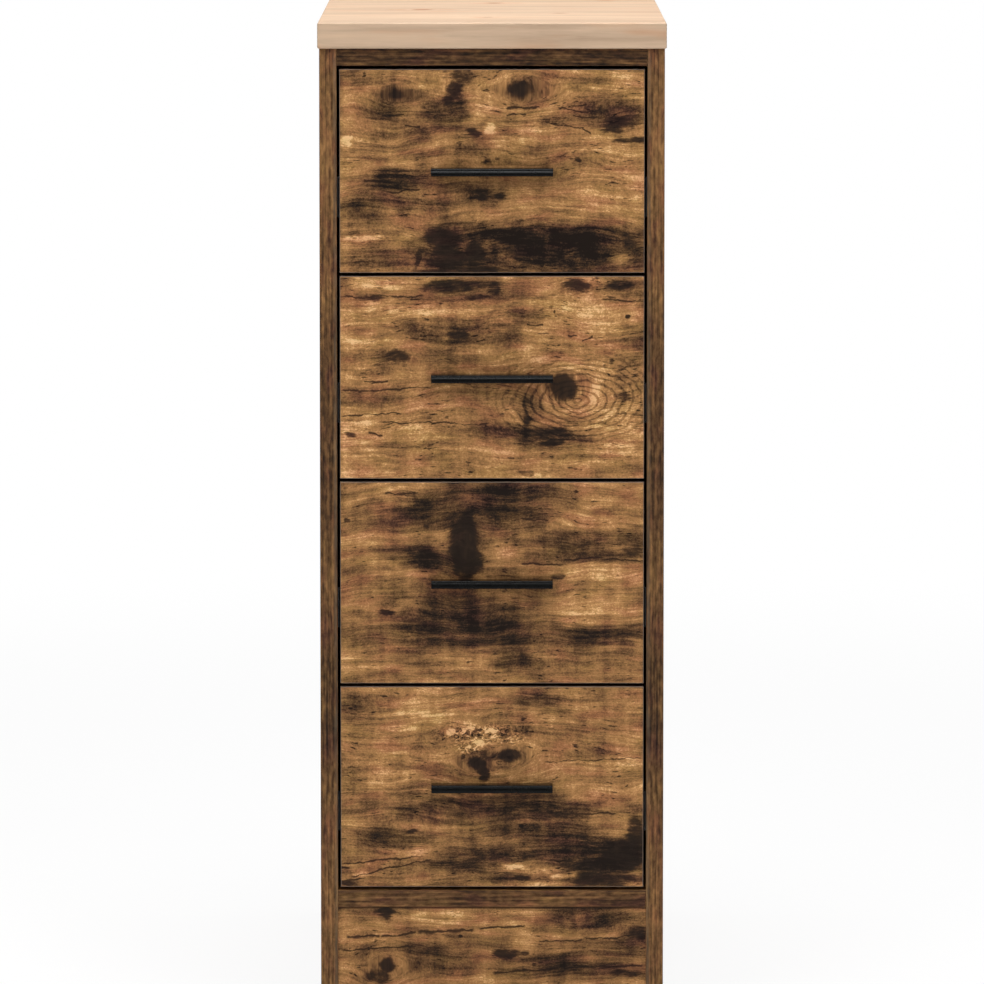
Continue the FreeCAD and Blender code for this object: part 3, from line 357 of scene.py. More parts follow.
# %% Group: rings round a knot
ring_group, g, given, out = new_group(
    "knot rings", ("Along", "Across", "Middle Along", "Middle Across", "Reach", "Spacing", "Stretch"),
    ("Tone",))
far_along = g.share(g.less(given["Along"], given["Middle Along"]), given["Stretch"])
far_across = g.less(given["Across"], given["Middle Across"])
uneven = g.layer(given["Along"], given["Across"], 3.0, 0.05, 0.05, 0.0, 3.0)
far = g.add(g.math("SQRT", g.squares(far_along, far_across)), g.swing(uneven, 9.0))
lines = g.span(g.wave(g.share(far, given["Spacing"])), 0.1, 1.0)
g.feed(out["Tone"], g.times(lines, g.span(far, given["Reach"], g.times(given["Reach"], 0.35))))
print(g.name, len(g.tree.nodes), "nodes")

# %% Group: grain that parts round a knot
part_group, g, given, out = new_group(
    "grain parting", ("Along", "Across", "Part", "Middle Along", "Middle Across", "Radius", "Reach"),
    ("Part",))
far_along = g.share(g.less(given["Along"], given["Middle Along"]), given["Reach"])
far_across = g.less(given["Across"], given["Middle Across"])
knot = g.times(given["Radius"], given["Radius"])
hold = g.least(g.share(knot, g.add(g.squares(far_along, far_across), g.times(knot, 0.25))), 1.0)
g.feed(out["Part"], g.less(given["Part"], g.times(far_across, hold)))
print(g.name, len(g.tree.nodes), "nodes")

# %% [markdown]
# ## The printed old wood: its colours
# The ramp goes from charred black through umber to a dry golden tan. A redder set of colours is
# mixed in by a slow noise, and an olive tint in other places, because old planks are never of one
# hue.

# %% Group: old wood colours
OLIVE = (0.89, 0.96, 0.84, 1.0)
colour_group, g, given, out = new_group(
    "old wood colours", ("Tone", "Darkness", "Hue"), ("Colour", "Roughness"))
shade = g.times(given["Tone"], g.less(1.0, g.times(given["Darkness"], 0.86)))
golden = g.ramp(shade, [
    (0.00, (25, 16, 10)), (0.08, (39, 28, 20)), (0.22, (67, 46, 28)), (0.40, (103, 73, 45)),
    (0.58, (139, 101, 62)), (0.76, (168, 122, 75)), (0.90, (194, 147, 94)), (1.00, (224, 182, 130))],
    FRONT_LIGHT)
warm = g.ramp(shade, [
    (0.00, (22, 10, 7)), (0.25, (70, 44, 34)), (0.50, (122, 79, 52)), (0.75, (164, 109, 72)),
    (1.00, (212, 158, 112))], FRONT_LIGHT)
mixed = g.blend(g.span(given["Hue"], 0.48, 0.70, 0.0, 0.8), golden, warm)
tinted = g.blend(g.span(given["Hue"], 0.46, 0.30, 0.0, 0.6), mixed, OLIVE, "MULTIPLY")
g.feed(out["Colour"], tinted)
g.feed(out["Roughness"], g.span(shade, 0.0, 0.9, 0.50, 0.62))
print(g.name, len(g.tree.nodes), "nodes")

# %% [markdown]
# ## Marks of each board
# A board's marks are lists of places in millimetres from the board's middle: along the board, then
# across it. Ovals (burnt, smoked, pale and eaten) are (along, across, half length, half width,
# strength); a crack is (start along, start across, end along, end across, half width); a knot parts
# the grain and is (along, across, radius, reach); rings are (along, across, reach, spacing,
# stretch). Base is the mean tone of the board. They were placed board by board.

# %% Marks of the top front
# A dark band lies in its lower third, a knot near each upper corner with a smoked patch between
# them, and short cracks at both sides of the pull.
MARKS = {}
MARKS[1] = {
    "base": 0.61,
    "burnt": [(-83, 67.5, 9, 4.5, 0.95), (-26, 82, 9, 8, 0.92), (-33, 72, 8, 8, 0.92),
        (-39, 62, 7, 6, 0.85), (-18, 33, 8, 3.2, 0.95), (28, 71, 11, 7.5, 0.9),
        (-3, 8, 3.5, 2.6, 0.85), (-8, -18, 5, 4.5, 0.85), (-10, -23, 8, 2.2, 0.9),
        (5, -23, 7, 2.6, 0.75), (112, 44, 17, 6, 0.78), (105, 36, 11, 2.4, 0.85),
        (118, 27, 17, 3, 0.9), (75, 10, 3.4, 2.2, 0.8), (-42, -60, 14, 13, 1.22),
        (-38, -76, 18, 11, 1.12), (-14, -72, 12, 13, 1.05), (24, -58, 22, 8, 0.86),
        (28, -70, 24, 8, 0.84), (-64, -76, 2.6, 11, 0.9), (85, -60, 48, 7, 0.5),
        (120, -60, 13, 7, 0.68), (75, -72, 28, 5, 0.5), (124, -78, 5, 2.6, 0.88),
        (-25, -86, 40, 3, 0.9), (-112, 82, 2, 6, 0.7)],
    "smoked": [(-42, 52, 16, 11, 0.5), (-30, 55, 9, 16, 0.4), (-95, 52, 18, 9, 0.28),
        (108, 50, 22, 13, 0.45), (40, -66, 100, 22, 0.6), (-100, -78, 30, 10, 0.35),
        (-110, -34, 20, 14, 0.3), (-84, -8, 26, 9, 0.45), (-5, -21, 18, 8, 0.35),
        (-80, 68, 22, 8, 0.35), (28, 71, 18, 12, 0.35), (-60, -30, 30, 12, 0.25),
        (-66, 20, 10, 30, 0.2), (-84, 70, 3, 20, 0.2)],
    "pale": [(-127, 25, 5, 5, 0.6), (-1, 38, 5, 5, 0.5), (-127, 58, 7, 18, 0.25),
        (-104, 73, 8, 4, 0.4), (-65, 74, 11, 2.6, 0.4), (-112, -58, 20, 2.2, 0.45),
        (-74, -57, 8, 3, 0.35), (92, 72, 7, 2, 0.3), (112, -76, 9, 6, 0.35), (20, -79, 6, 2.6, 0.4),
        (10, 78, 8, 7, 0.15), (40, -38, 60, 8, 0.12)],
    "cracks": [(46, 42, 62, 39.5, 1.0), (62, 39.5, 80, 38.5, 0.8), (78, 38, 86, 33, 1.0),
        (12, 55.5, 42, 56.5, 1.2), (12, 49.5, 30, 50.5, 0.8), (-76, 38.5, -62, 38.5, 0.9),
        (57, 55, 92, 51, 0.9), (70, 49, 92, 46, 1.1), (-100, 1, -62, 0, 1.0), (-112, -9, -82, -9, 1.4),
        (-90, -19, -62, -16, 1.0), (-96, 48, -76, 49, 0.9)],
    "knots": [(28, 71, 12, 2.0), (-83, 67.5, 8, 2.0)]}
print("the top front", len(MARKS[1]["burnt"]), "burnt places")

# %% Marks of the second front
# The palest one. Dark patches run along its upper edge, and a large ringed knot stands at the right
# end of the pull.
MARKS[2] = {
    "base": 0.715,
    "burnt": [(-33, 80, 25, 7.5, 0.92), (3, 78, 6, 5.5, 0.95), (-12, 70, 12, 2.4, 0.85),
        (72, 80, 14, 6.5, 0.95), (110, 81, 13, 5, 0.85), (104, 70, 8, 1.4, 0.8),
        (-104, 69, 14, 2.8, 0.82), (-32, 38, 11, 4.5, 0.98), (-82, 18, 11, 6.5, 0.98),
        (-92, 12, 9, 4, 0.75), (62, -8, 11.5, 12.5, 1.25), (30, -22, 2.8, 9, 0.88),
        (30, -38, 3.6, 5, 0.78), (50, -49, 18, 5.5, 1.0), (52, -57, 11, 3.4, 0.9),
        (115, -15, 9, 3, 0.92), (124, -5, 7, 4, 0.8), (-124, -51, 4, 2.2, 0.98), (28, -84, 7, 4, 0.9),
        (-90, -5, 1.8, 4, 0.85), (105, 14, 2.4, 2.4, 0.85), (56, 57, 1.4, 1.4, 1.0),
        (117, 52, 1.6, 1.6, 1.0), (125, 18, 5, 7, 0.65)],
    "smoked": [(-25, 38, 48, 11, 0.45), (-40, 20, 42, 11, 0.25), (-105, 16, 24, 11, 0.3),
        (30, 52, 16, 6, 0.35), (15, -48, 42, 7, 0.45), (45, -55, 30, 12, 0.4),
        (-105, -18, 28, 13, 0.22), (34, -28, 9, 16, 0.3), (110, 76, 24, 10, 0.3),
        (-20, 76, 46, 12, 0.3), (124, 25, 10, 14, 0.25), (40, -72, 30, 8, 0.18)],
    "pale": [(-95, 81, 30, 5, 0.3), (88, -12, 6, 8, 0.35), (110, -33, 14, 6, 0.25),
        (100, 20, 20, 6, 0.15), (-60, 60, 40, 5, 0.1), (-20, -26, 40, 6, 0.1)],
    "cracks": [(-133, 70.5, -58, 71, 0.9), (66, 37, 74, 36, 1.1), (78, 31, 88, 35, 1.1),
        (-133, -12, -52, -9, 0.8), (-112, -3, -90, -3, 0.8), (-133, -34, -78, -31, 0.8),
        (-100, -39, 0, -41, 0.7), (-108, -50, -95, -51, 0.9), (30, 46, 45, 45, 0.9),
        (95, 68, 133, 67, 0.8)],
    "knots": [(62, -8, 15, 1.3)],
    "rings": [(75, -20, 56, 4.3, 1.8)]}
print("the second front", len(MARKS[2]["burnt"]), "burnt places")

# %% Marks of the third front
# The darkest one. A tall burn stands above the pull, with smoke along the upper edge and below the
# pull.
MARKS[3] = {
    "base": 0.555,
    "burnt": [(-23, 29, 12.5, 25, 1.55), (-23, 50, 8, 14, 1.1), (-58, 22, 17, 6.5, 0.8),
        (-57, 49, 3.4, 2.4, 0.8), (-127, 54, 3, 2.2, 0.9), (-92, -26, 8, 2.4, 1.05),
        (124, 28, 9, 5.5, 0.92), (57, 6, 7, 3.6, 0.92), (70, 30, 12, 6, 0.55), (30, 65, 24, 6, 0.45),
        (-30, -36, 4, 3, 0.7), (-45, -34, 30, 8, 0.34), (105, -48, 18, 5, 0.38),
        (18, -66, 12, 5, 0.44), (-78, 73, 16, 5, 0.42)],
    "smoked": [(-35, 64, 64, 17, 0.46), (10, 76, 54, 13, 0.44), (-75, 68, 26, 10, 0.38),
        (30, 60, 24, 12, 0.3), (75, 33, 36, 13, 0.38), (120, 35, 16, 12, 0.34),
        (-28, -36, 58, 13, 0.5), (-10, -50, 52, 8, 0.38), (100, -46, 36, 8, 0.42),
        (15, -67, 16, 8, 0.4), (-110, -48, 24, 8, 0.25), (-30, -18, 26, 10, 0.34),
        (-60, 22, 26, 10, 0.4), (110, 60, 20, 8, 0.25)],
    "pale": [(-78, 83, 16, 3, 0.35), (10, 28, 14, 9, 0.22), (-112, 14, 12, 26, 0.14),
        (85, 10, 42, 7, 0.22), (85, -18, 38, 12, 0.2), (-62, 9, 14, 4, 0.25), (70, -35, 20, 5, 0.15),
        (92, 68, 18, 9, 0.12)],
    "cracks": [(25, 17, 62, 16, 0.8), (62, 20, 98, 22, 0.9), (98, 20, 133, 19, 0.8),
        (25, 56, 50, 55, 0.9), (-94, 79, -66, 78, 1.3)],
    "knots": [(-23, 32, 13, 0.8)]}
print("the third front", len(MARKS[3]["burnt"]), "burnt places")

# %% Marks of the bottom front
# Worm-eaten wood lies above two knots over the pull, and the lower right corner is burnt.
MARKS[4] = {
    "base": 0.6,
    "burnt": [(14, 28, 11, 5, 0.98), (-12, 21, 9, 4, 1.05), (-8, 12, 4.5, 7, 1.05),
        (-27, 27, 3, 3.4, 0.95), (-2, 28, 6, 4.5, 0.62), (47, -25, 12, 4.5, 0.66),
        (-92, -41, 14, 2.2, 0.68), (-70, -40, 6, 1.8, 0.75), (126, -40, 9, 17, 1.05),
        (115, -62, 22, 15, 1.2), (85, -70, 24, 7, 0.95), (100, -82, 30, 7, 1.0),
        (24, -80, 10, 2.6, 0.9), (-130, -72, 5, 1.4, 0.85), (-126, -84, 13, 2.6, 0.88)],
    "smoked": [(-85, -44, 36, 9, 0.38), (45, -20, 56, 10, 0.5), (0, -16, 60, 6, 0.35),
        (60, -40, 50, 13, 0.35), (-20, -60, 42, 12, 0.4), (95, -62, 46, 20, 0.5), (40, 78, 20, 6, 0.4),
        (-110, 68, 24, 12, 0.32), (-60, -28, 40, 8, 0.25), (110, -15, 24, 6, 0.35),
        (0, 24, 24, 10, 0.3), (25, -80, 22, 6, 0.35)],
    "pale": [(-80, 52, 20, 2.6, 0.35), (-66, 62, 26, 5, 0.22), (-12, 36, 6, 3.4, 0.45),
        (-36, 49, 4, 2.4, 0.45), (-2, 49, 5, 2.4, 0.4), (-85, 22, 42, 14, 0.12),
        (22, -71, 12, 2.2, 0.45), (62, -79, 10, 1.8, 0.45), (48, -74, 14, 1.8, 0.35),
        (-66, -58, 22, 2.4, 0.28), (-112, -78, 12, 2.6, 0.35), (70, 62, 32, 12, 0.1)],
    "cracks": [(-133, -68, -60, -62, 0.9), (-125, -80, -52, -64, 1.0), (-133, -84, -110, -80, 0.9),
        (60, -24, 110, -23, 0.9), (45, 22, 133, 26, 0.6), (0, -62, 50, -60, 0.6)],
    "knots": [(14, 28, 9, 2.0), (-12, 21, 9, 2.0)],
    "eaten": [(-8, 47, 34, 7, 1.0), (-20, 35, 12, 6, 0.8)]}
print("the bottom front", len(MARKS[4]["burnt"]), "burnt places")

# %% Marks of the plinth
# Long cracks cross it, with knots at its left and a dark spot in its middle.
MARKS["plinth"] = {
    "base": 0.65,
    "burnt": [(-93, 34, 9, 6, 1.25), (-91, -12, 6.5, 8, 1.05), (-98, -22, 13, 6, 0.95),
        (12, -2, 13, 4.5, 1.05), (28, -1, 4, 2.6, 0.85), (-28, 13.5, 1.8, 2.4, 1.0),
        (-107, 2, 1.5, 1.5, 0.95), (-101, 9, 1.5, 2, 0.95), (128, 16, 9, 6, 0.82),
        (120, -19, 13, 4, 0.88), (38, -12, 3, 2, 0.85)],
    "smoked": [(-30, -5, 42, 15, 0.3), (85, 30, 42, 11, 0.3), (30, -10, 52, 9, 0.35),
        (125, 10, 12, 16, 0.4), (-92, 36, 22, 5, 0.4), (60, -14, 72, 9, 0.28)],
    "pale": [(-50, 28, 42, 6, 0.18), (40, 33, 14, 5, 0.22), (-78, -10, 5, 8, 0.25),
        (-60, 8, 60, 3, 0.12)],
    "cracks": [(-128, 14, -98, 13, 1.6), (-98, 13, -66, 17, 1.1), (-66, 17, -15, 19, 1.7),
        (-12, 20, 30, 23, 1.0), (40, 9, 80, 10, 0.8), (80, 11, 134, 15, 1.1), (0, -19, 60, -15, 1.3),
        (60, -15, 134, -12, 1.1), (-133, 1, -66, 5, 0.9)],
    "knots": [(-94, -14, 12, 1.4)]}
print("the plinth", len(MARKS["plinth"]["burnt"]), "burnt places")

# %% [markdown]
# ## A board faced with old wood
# One function makes the finish of any faced board. It measures from the board's middle, asks the
# grain group for the tone, adds the board's marks, and lays the edge band over the outer half
# millimetre, where the cut foil shows as a thin greyer line. Its steps come first, as helpers.


# %% Directions on a board
def board_directions(g, middle, upright, flip):
    """The distances from a board's middle over X and Z, those along and across its grain, and a mask
    of the faces that look forwards or back. Flip mirrors the pattern."""
    x, y, z = g.parts(g.place())
    over_x = g.times(g.less(x, middle.x / MM), flip)
    over_z = g.less(z, middle.z / MM)
    facing = g.node("ShaderNodeNewGeometry")
    turned_x, turned_y, turned_z = (g.size(part) for part in g.parts(facing.outputs["Normal"]))
    sideways = g.math("GREATER_THAN", turned_x, 0.7)
    level = g.math("GREATER_THAN", turned_z, 0.7)
    edge_on = g.math("GREATER_THAN", turned_y, 0.5)
    if upright:
        along = g.choose(level, over_z, y)
        across = g.choose(sideways, over_x, y)
    else:
        along = g.choose(sideways, over_x, y)
        across = g.choose(level, over_z, y)
    return over_x, over_z, along, across, edge_on


# %% Marks on a board
def parted(g, along, across, knots):
    """How far knots push the grain aside."""
    part = 0.0
    for k_along, k_across, radius, reach in knots:
        part = g.use(part_group, Along=along, Across=across, Part=part, Middle_Along=k_along,
                     Middle_Across=k_across, Radius=radius, Reach=reach)["Part"]
    return part


def ovals(g, place, marks):
    """The strongest of the soft ovals at each point."""
    mask = 0.0
    for along, across, length, width, strength in marks:
        mask = g.use(oval_group, Place=place, So_Far=mask, Scale=(1 / length, 1 / width, 0.0),
                     Offset=(-along / length, -across / width, 0.0), Strength=strength)["Mask"]
    return mask


def cracked(g, along, torn, darkness, cracks):
    """The darkness with cracks laid over it."""
    for start, start_up, end, end_up, width in cracks:
        darkness = g.use(crack_group, Along=along, Waved_Across=torn["Waved Across"], So_Far=darkness,
                         Thinning=torn["Thinning"], Middle_Along=(start + end) / 2,
                         Middle_Across=(start_up + end_up) / 2, Half_Length=(end - start) / 2,
                         Slope=(end_up - start_up) / (end - start), Half_Width=width)["Mask"]
    return darkness


def scattered_marks(g, along, across, seed, knots, amount):
    """Burnt and smoked places by chance, for a board whose face the photograph doesn't show."""
    clouded = g.layer(along, across, seed, 0.0042, 0.0110, 21.0, 3.0)
    charred = g.times(g.span(knots, 0.10, 0.03), 1.1)
    burnt = g.times(g.most(g.span(clouded, 0.56, 0.84), charred), amount)
    return burnt, g.times(g.span(clouded, 0.46, 0.76), amount)


# %% Edges of a board
def edge_tone(g, along, across, seed, edge_base, grain_tone, upright):
    """The straight, streaky print of a cut edge. The middle of an upright one is darker."""
    streaks = g.add(g.swing(g.layer(along, across, seed, 0.014, 0.420, 3.0, 3.0), 0.95),
                    g.swing(g.layer(along, across, seed, 0.110, 0.300, 9.0, 3.0), 0.65))
    slow = g.span(g.size(g.add(along, 45.0)), 120.0, 330.0, -0.07, 0.07) if upright else 0.0
    return g.add(g.add(edge_base, slow), g.add(streaks, g.times(grain_tone, 0.22)))


def grey_inner_line(g, colour, past_edge, along, across, seed, edge_on):
    """The colour of an upright edge with the worn line that it has next to the drawers."""
    worn = g.span(g.layer(along, across, seed, 0.050, 0.300, 5.0), 0.36, 0.60, 0.15, 0.8)
    inner = g.times(g.span(past_edge, 4.2, 1.4), worn)
    return g.blend(g.times(g.times(inner, edge_on), 0.6), colour, paint(104, 89, 71, FRONT_LIGHT))


def cut_foil(g, colour, over_x, over_z, half, band):
    """The colour with the thin greyer line of the cut foil round a front."""
    past_x = g.less(g.size(over_x), half.x / MM - band)
    past_z = g.less(g.size(over_z), half.z / MM - band)
    cut = g.span(g.most(past_x, past_z), 0.0, 0.15)
    return g.blend(g.times(cut, 0.75), colour, paint(112, 104, 98, FRONT_LIGHT))


# %% Faced board
def face_board(node, name, marks, upright=False, seed=0.0, edge_base=None, scattered=0.0, band=None,
               flip=1.0, joint=False):
    """Gives a board its own old-wood finish. Upright turns the grain along Z; the marks' base and the
    edge base are the mean tones of the faces and of the cut front edge, from 0, charred, to 1,
    palest. Scattered is the strength of marks by chance, band the width of the cut foil in
    millimetres, and the last flag draws a painted shadow line along the upper border, where the
    rail above shades the board."""
    middle, half = middle_and_half(node)
    material, g, shader = new_material(name)
    over_x, over_z, along, across, edge_on = board_directions(g, middle, upright, flip)
    if scattered:
        knots = g.node("ShaderNodeTexVoronoi")
        g.feed(knots.inputs["Vector"], g.vector(g.times(along, 0.0042), seed, g.times(across, 0.0090)))
        knots.inputs["Scale"].default_value = 1.0
        knots = knots.outputs["Distance"]
        part = g.times(g.span(knots, 0.34, 0.0), 9.0)
    else:
        part = parted(g, along, across, marks.get("knots", ()))
    grain = g.use(grain_group, Along=along, Across=across, Depth=seed, Part=part)
    torn = g.use(torn_group, Along=along, Across=across, Bent=grain["Bent"], Depth=seed)
    shifted = g.vector(torn["Shifted Along"], torn["Shifted Across"], 0.0)
    burnt, smoked, pale, eaten = (ovals(g, shifted, marks.get(kind, ()))
                                  for kind in ("burnt", "smoked", "pale", "eaten"))
    if scattered:
        amount = g.times(g.less(1.0, edge_on), scattered)
        burnt, smoked = scattered_marks(g, along, across, seed, knots, amount)
    chance = g.add(burnt, torn["Uneven"])
    darkness = g.times(g.span(chance, 0.28, 1.02), g.span(chance, 0.60, 1.60, 0.84, 1.06, smooth=False))
    darkness = cracked(g, along, torn, darkness, marks.get("cracks", ()))
    tone = g.add(marks["base"], grain["Tone"])
    if edge_base is not None:
        edge = edge_tone(g, along, across, seed, edge_base, grain["Tone"], upright)
        tone = g.choose(edge_on, tone, edge)
    tone = g.less(tone, g.times(smoked, g.add(0.85, g.times(torn["Uneven"], 0.60))))
    tone = g.add(tone, g.times(pale, g.add(0.8, g.times(torn["Uneven"], 0.8))))
    for r_along, r_across, reach, spacing, stretch in marks.get("rings", ()):
        rings = g.use(ring_group, Along=along, Across=across, Middle_Along=r_along,
                      Middle_Across=r_across, Reach=reach, Spacing=spacing, Stretch=stretch)["Tone"]
        tone = g.less(tone, g.times(rings, 0.28))
    if "eaten" in marks:
        tracks = g.noise(g.vector(g.times(along, 0.22), 3.0, g.times(across, 0.30)), 1.0, 2.0, 0.6, 1.2)
        tone = g.add(tone, g.times(g.times(g.less(tracks, 0.52), 3.2), eaten))
    # Painted shade: the shadow that the rail above casts on the board, drawn as a dark line along its
    # upper border.
    if joint:
        top = half.z / MM
        darkness = g.most(darkness, g.span(over_z, top - 2.6, top - 0.6, 0.0, 0.72))
    wood = g.use(colour_group, Tone=tone, Darkness=darkness, Hue=grain["Hue"])
    colour = wood["Colour"]
    if upright:
        past_edge = g.less(half.x / MM, over_x)
        colour = grey_inner_line(g, colour, past_edge, along, across, seed, edge_on)
    if band:
        colour = cut_foil(g, colour, over_x, over_z, half, band)
    height = g.less(g.times(grain["Lines"], 0.6), g.times(darkness, 0.3))
    finish_with(g, shader, colour, wood["Roughness"], g.relief(height, 0.00012, 0.6),
                Specular_IOR_Level=0.12)
    dress(node, material)


# %% Fronts and plinth
for drawer in DRAWERS:
    face_board(f"drawer_{drawer}_front", f"old_wood_front_{drawer}", MARKS[drawer], seed=2.7 * drawer,
               band=0.6)
# The plinth gets a painted shadow line under the rail above it.
face_board("plinth_board", "old_wood_plinth", MARKS["plinth"], seed=17.0, joint=True)

# %% [markdown]
# ## The frame round the drawers
# The cut edges of the side, top and bottom boards carry a darker edge band with straight, streaky
# grain along the edge, greyer towards the drawers. Both sides have the same print, mirrored. Their
# big faces are printed like the fronts, with scattered knots.

# %% Sides, top, bottom and rear rail
for node, flip in (("left_side_panel", 1.0), ("right_side_panel", -1.0)):
    face_board(node, f"old_wood_{node}", {"base": 0.62}, upright=True, seed=31.0, edge_base=0.365,
               scattered=0.58, flip=flip)
for node, seed, edge_base in (("top_panel", 41.0, 0.23), ("bottom_panel", 43.0, 0.325),
                              ("rear_base_rail", 47.0, 0.60)):
    face_board(node, f"old_wood_{node}", {"base": 0.60}, seed=seed, edge_base=edge_base)

# %% [markdown]
# ## The worktop
# Solid pine, sanded and oiled pale. Such a top is glued up from strips some 84 mm wide, so every
# strip has its own tone and its own bands of early and late wood, and year rings on its sawn ends.
# Reddish streaks run along it, and the grain parts round a few knots, which are listed as:
# (along, back from the front edge, radius, strength).

# %% Pine: strips and grain
STRIP = 84.0
PINE_KNOTS = ((-62, 263, 8.0, 0.9), (2, 403, 6.0, 1.0), (-4, 109, 4.0, 0.8), (60, 190, 5.0, 0.6),
              (104, 452, 5.0, 0.8))
pine, g, shader = new_material("oiled_pine")
x, y, z = g.parts(g.place())
back = g.less(y, worktop_low.y / MM)
strip = g.math("FLOOR", g.share(back, STRIP))
chance = g.node("ShaderNodeTexWhiteNoise", noise_dimensions="1D")
g.feed(chance.inputs["W"], strip)
own = chance.outputs["Value"]
apart = g.times(strip, 7.3)
bent = g.add(y, parted(g, x, back, [(k_along, k_back, radius * 2.6, 2.2)
                                    for k_along, k_back, radius, strength in PINE_KNOTS]))
wander = g.noise(g.vector(g.times(x, 0.006), g.add(g.times(y, 0.012), apart), g.times(z, 0.02)),
                 1.0, 2.0, 0.5)
band_place = g.add(g.add(g.times(bent, 0.070), g.times(wander, 2.2)), apart)
bands = g.noise(g.vector(g.times(x, 0.004), band_place, g.times(z, 0.11)), 1.0, 3.0, 0.5)
fibres = g.stretched((x, bent, z), (0.05, 0.9, 0.9))
streaks = g.noise(g.vector(g.times(x, 0.012), g.add(g.times(bent, 0.07), apart),
                           g.add(g.times(z, 0.09), 6.0)), 1.0, 2.0, 0.5)
tone = g.add(g.add(g.times(bands, 0.80), g.times(fibres, 0.20)), g.swing(own, 0.10))
colour = g.ramp(tone, [(0.30, (204, 175, 145)), (0.46, (195, 167, 140)), (0.58, (183, 156, 130)),
                       (0.75, (164, 137, 112))], FRONT_LIGHT)
reddish = g.times(g.span(streaks, 0.50, 0.76), g.add(0.20, g.times(own, 0.45)))
colour = g.blend(reddish, colour, paint(188, 138, 102, FRONT_LIGHT))
print("strips of", STRIP, "mm, knots", len(PINE_KNOTS))

# %% Pine: knots
push = g.swing(g.noise(g.vector(g.times(x, 0.09), g.times(y, 0.09), 2.0)), 7.0)
spot = g.vector(g.add(x, push), g.add(back, push), 0.0)
halo = ovals(g, spot, [(k_along, k_back, radius * 3.4, radius * 1.7, strength * 0.55)
                       for k_along, k_back, radius, strength in PINE_KNOTS])
heart = ovals(g, spot, [(k_along, k_back, radius, radius * 0.85, strength)
                        for k_along, k_back, radius, strength in PINE_KNOTS])
halo = g.times(halo, g.span(fibres, 0.35, 0.60, 0.4, 1.0))
colour = g.blend(halo, colour, paint(190, 132, 92, FRONT_LIGHT))
knot_wood = g.ramp(bands, [(0.35, (112, 66, 38)), (0.60, (154, 98, 62))], FRONT_LIGHT)
colour = g.blend(heart, colour, knot_wood)

# %% Pine: sawn ends
facing = g.node("ShaderNodeNewGeometry")
cut_end = g.math("GREATER_THAN", g.size(g.parts(facing.outputs["Normal"])[0]), 0.7)
from_pith = g.less(g.math("MODULO", back, STRIP), g.add(20.0, g.times(own, 44.0)))
above_pith = g.add(g.less(z, worktop_low.z / MM), g.add(14.0, g.times(own, 30.0)))
year = g.share(g.math("SQRT", g.squares(from_pith, above_pith)), 2.6)
year_lines = g.span(g.wave(g.add(year, g.times(wander, 1.5))), -0.4, 1.0)
pores = g.noise(g.vector(x, y, z), 1.4)
end_tone = g.add(g.times(year_lines, 0.30), g.times(pores, 0.75))
sawn = g.ramp(end_tone, [(0.25, (196, 166, 130)), (0.55, (176, 146, 112)), (0.80, (142, 108, 78))],
              FRONT_LIGHT)
finish_with(g, shader, g.blend(cut_end, colour, sawn), g.span(fibres, 0.3, 0.7, 0.48, 0.60),
            g.relief(fibres, 0.00015, 0.5), Specular_IOR_Level=0.35)
dress("worktop", pine)

# %% [markdown]
# ## Black pulls
# The pulls are extruded metal with a satin black powder coat: nearly black, with a very fine orange
# peel. Their front face is crowned a little, so that a light in front draws one thin line along it,
# about a third below the top. The crown is too slight for the solid and is made in the finish. All
# pulls share it, so it is measured downwards from each pull's top, one pitch of the drawers apart.

# %% Black coat
black, g, shader = new_material("satin_black_coat")
place = g.place()
peel = g.noise(place, 1.6, 2.0, 0.5)
dust = g.noise(place, 0.15)
top_of_six = (pull_top + 6 * pitch_of_drawers) / MM
below_top = g.math("MODULO", g.less(top_of_six, g.parts(place)[2]), pitch_of_drawers / MM)
down_the_face = g.less(g.span(below_top, 2.0, 6.0, 2.0, 6.0, smooth=False), 4.0)
crown = g.times(g.less(3.6, down_the_face), g.times(down_the_face, 0.020))
finish_with(g, shader, g.ramp(dust, [(0.3, (8, 8, 8)), (0.7, (14, 14, 13))]),
            g.span(dust, 0.3, 0.7, 0.13, 0.17), g.relief(g.add(crown, g.times(peel, 0.012)), MM),
            Specular_IOR_Level=0.13)
for drawer in DRAWERS:
    dress(f"drawer_{drawer}_handle", black)

# %% [markdown]
# ## Inner boards, hardboard, steel, plastic and beech
# The drawer boxes are of plain dark foil-faced board, their bottoms and the cabinet's back of
# brown hardboard with a felted face. Fixings are zinc plated, the runners are of darker steel with
# lines from drawing, and the balls and their cages shine under a film of grease.

# %% Inner boards
foil, g, shader = new_material("drawer_board_foil")
x, y, z = g.parts(g.place())
grain = g.use(grain_group, Along=y, Across=g.add(z, x), Depth=51.0, Part=0.0)
tone = g.add(g.times(grain["Tone"], 0.7), 0.55)
browns = [(0.15, (70, 51, 38)), (0.45, (96, 72, 54)), (0.65, (112, 85, 64)), (0.95, (132, 103, 79))]
finish_with(g, shader, g.ramp(tone, browns),
            g.span(grain["Lines"], 0.3, 0.7, 0.45, 0.58), g.relief(grain["Lines"], 0.0001, 0.4))

# %% Hardboard
felted, g, shader = new_material("hardboard")
place = g.place()
fluff = g.noise(place, 0.9, 4.0, 0.7)
blotch = g.noise(place, 0.03, 3.0, 0.55)
tone = g.add(g.times(fluff, 0.55), g.times(blotch, 0.45))
browns = [(0.35, (96, 68, 45)), (0.5, (121, 88, 60)), (0.65, (146, 110, 78))]
finish_with(g, shader, g.ramp(tone, browns),
            g.span(fluff, 0.3, 0.7, 0.62, 0.80), g.relief(fluff, 0.0002, 0.6))


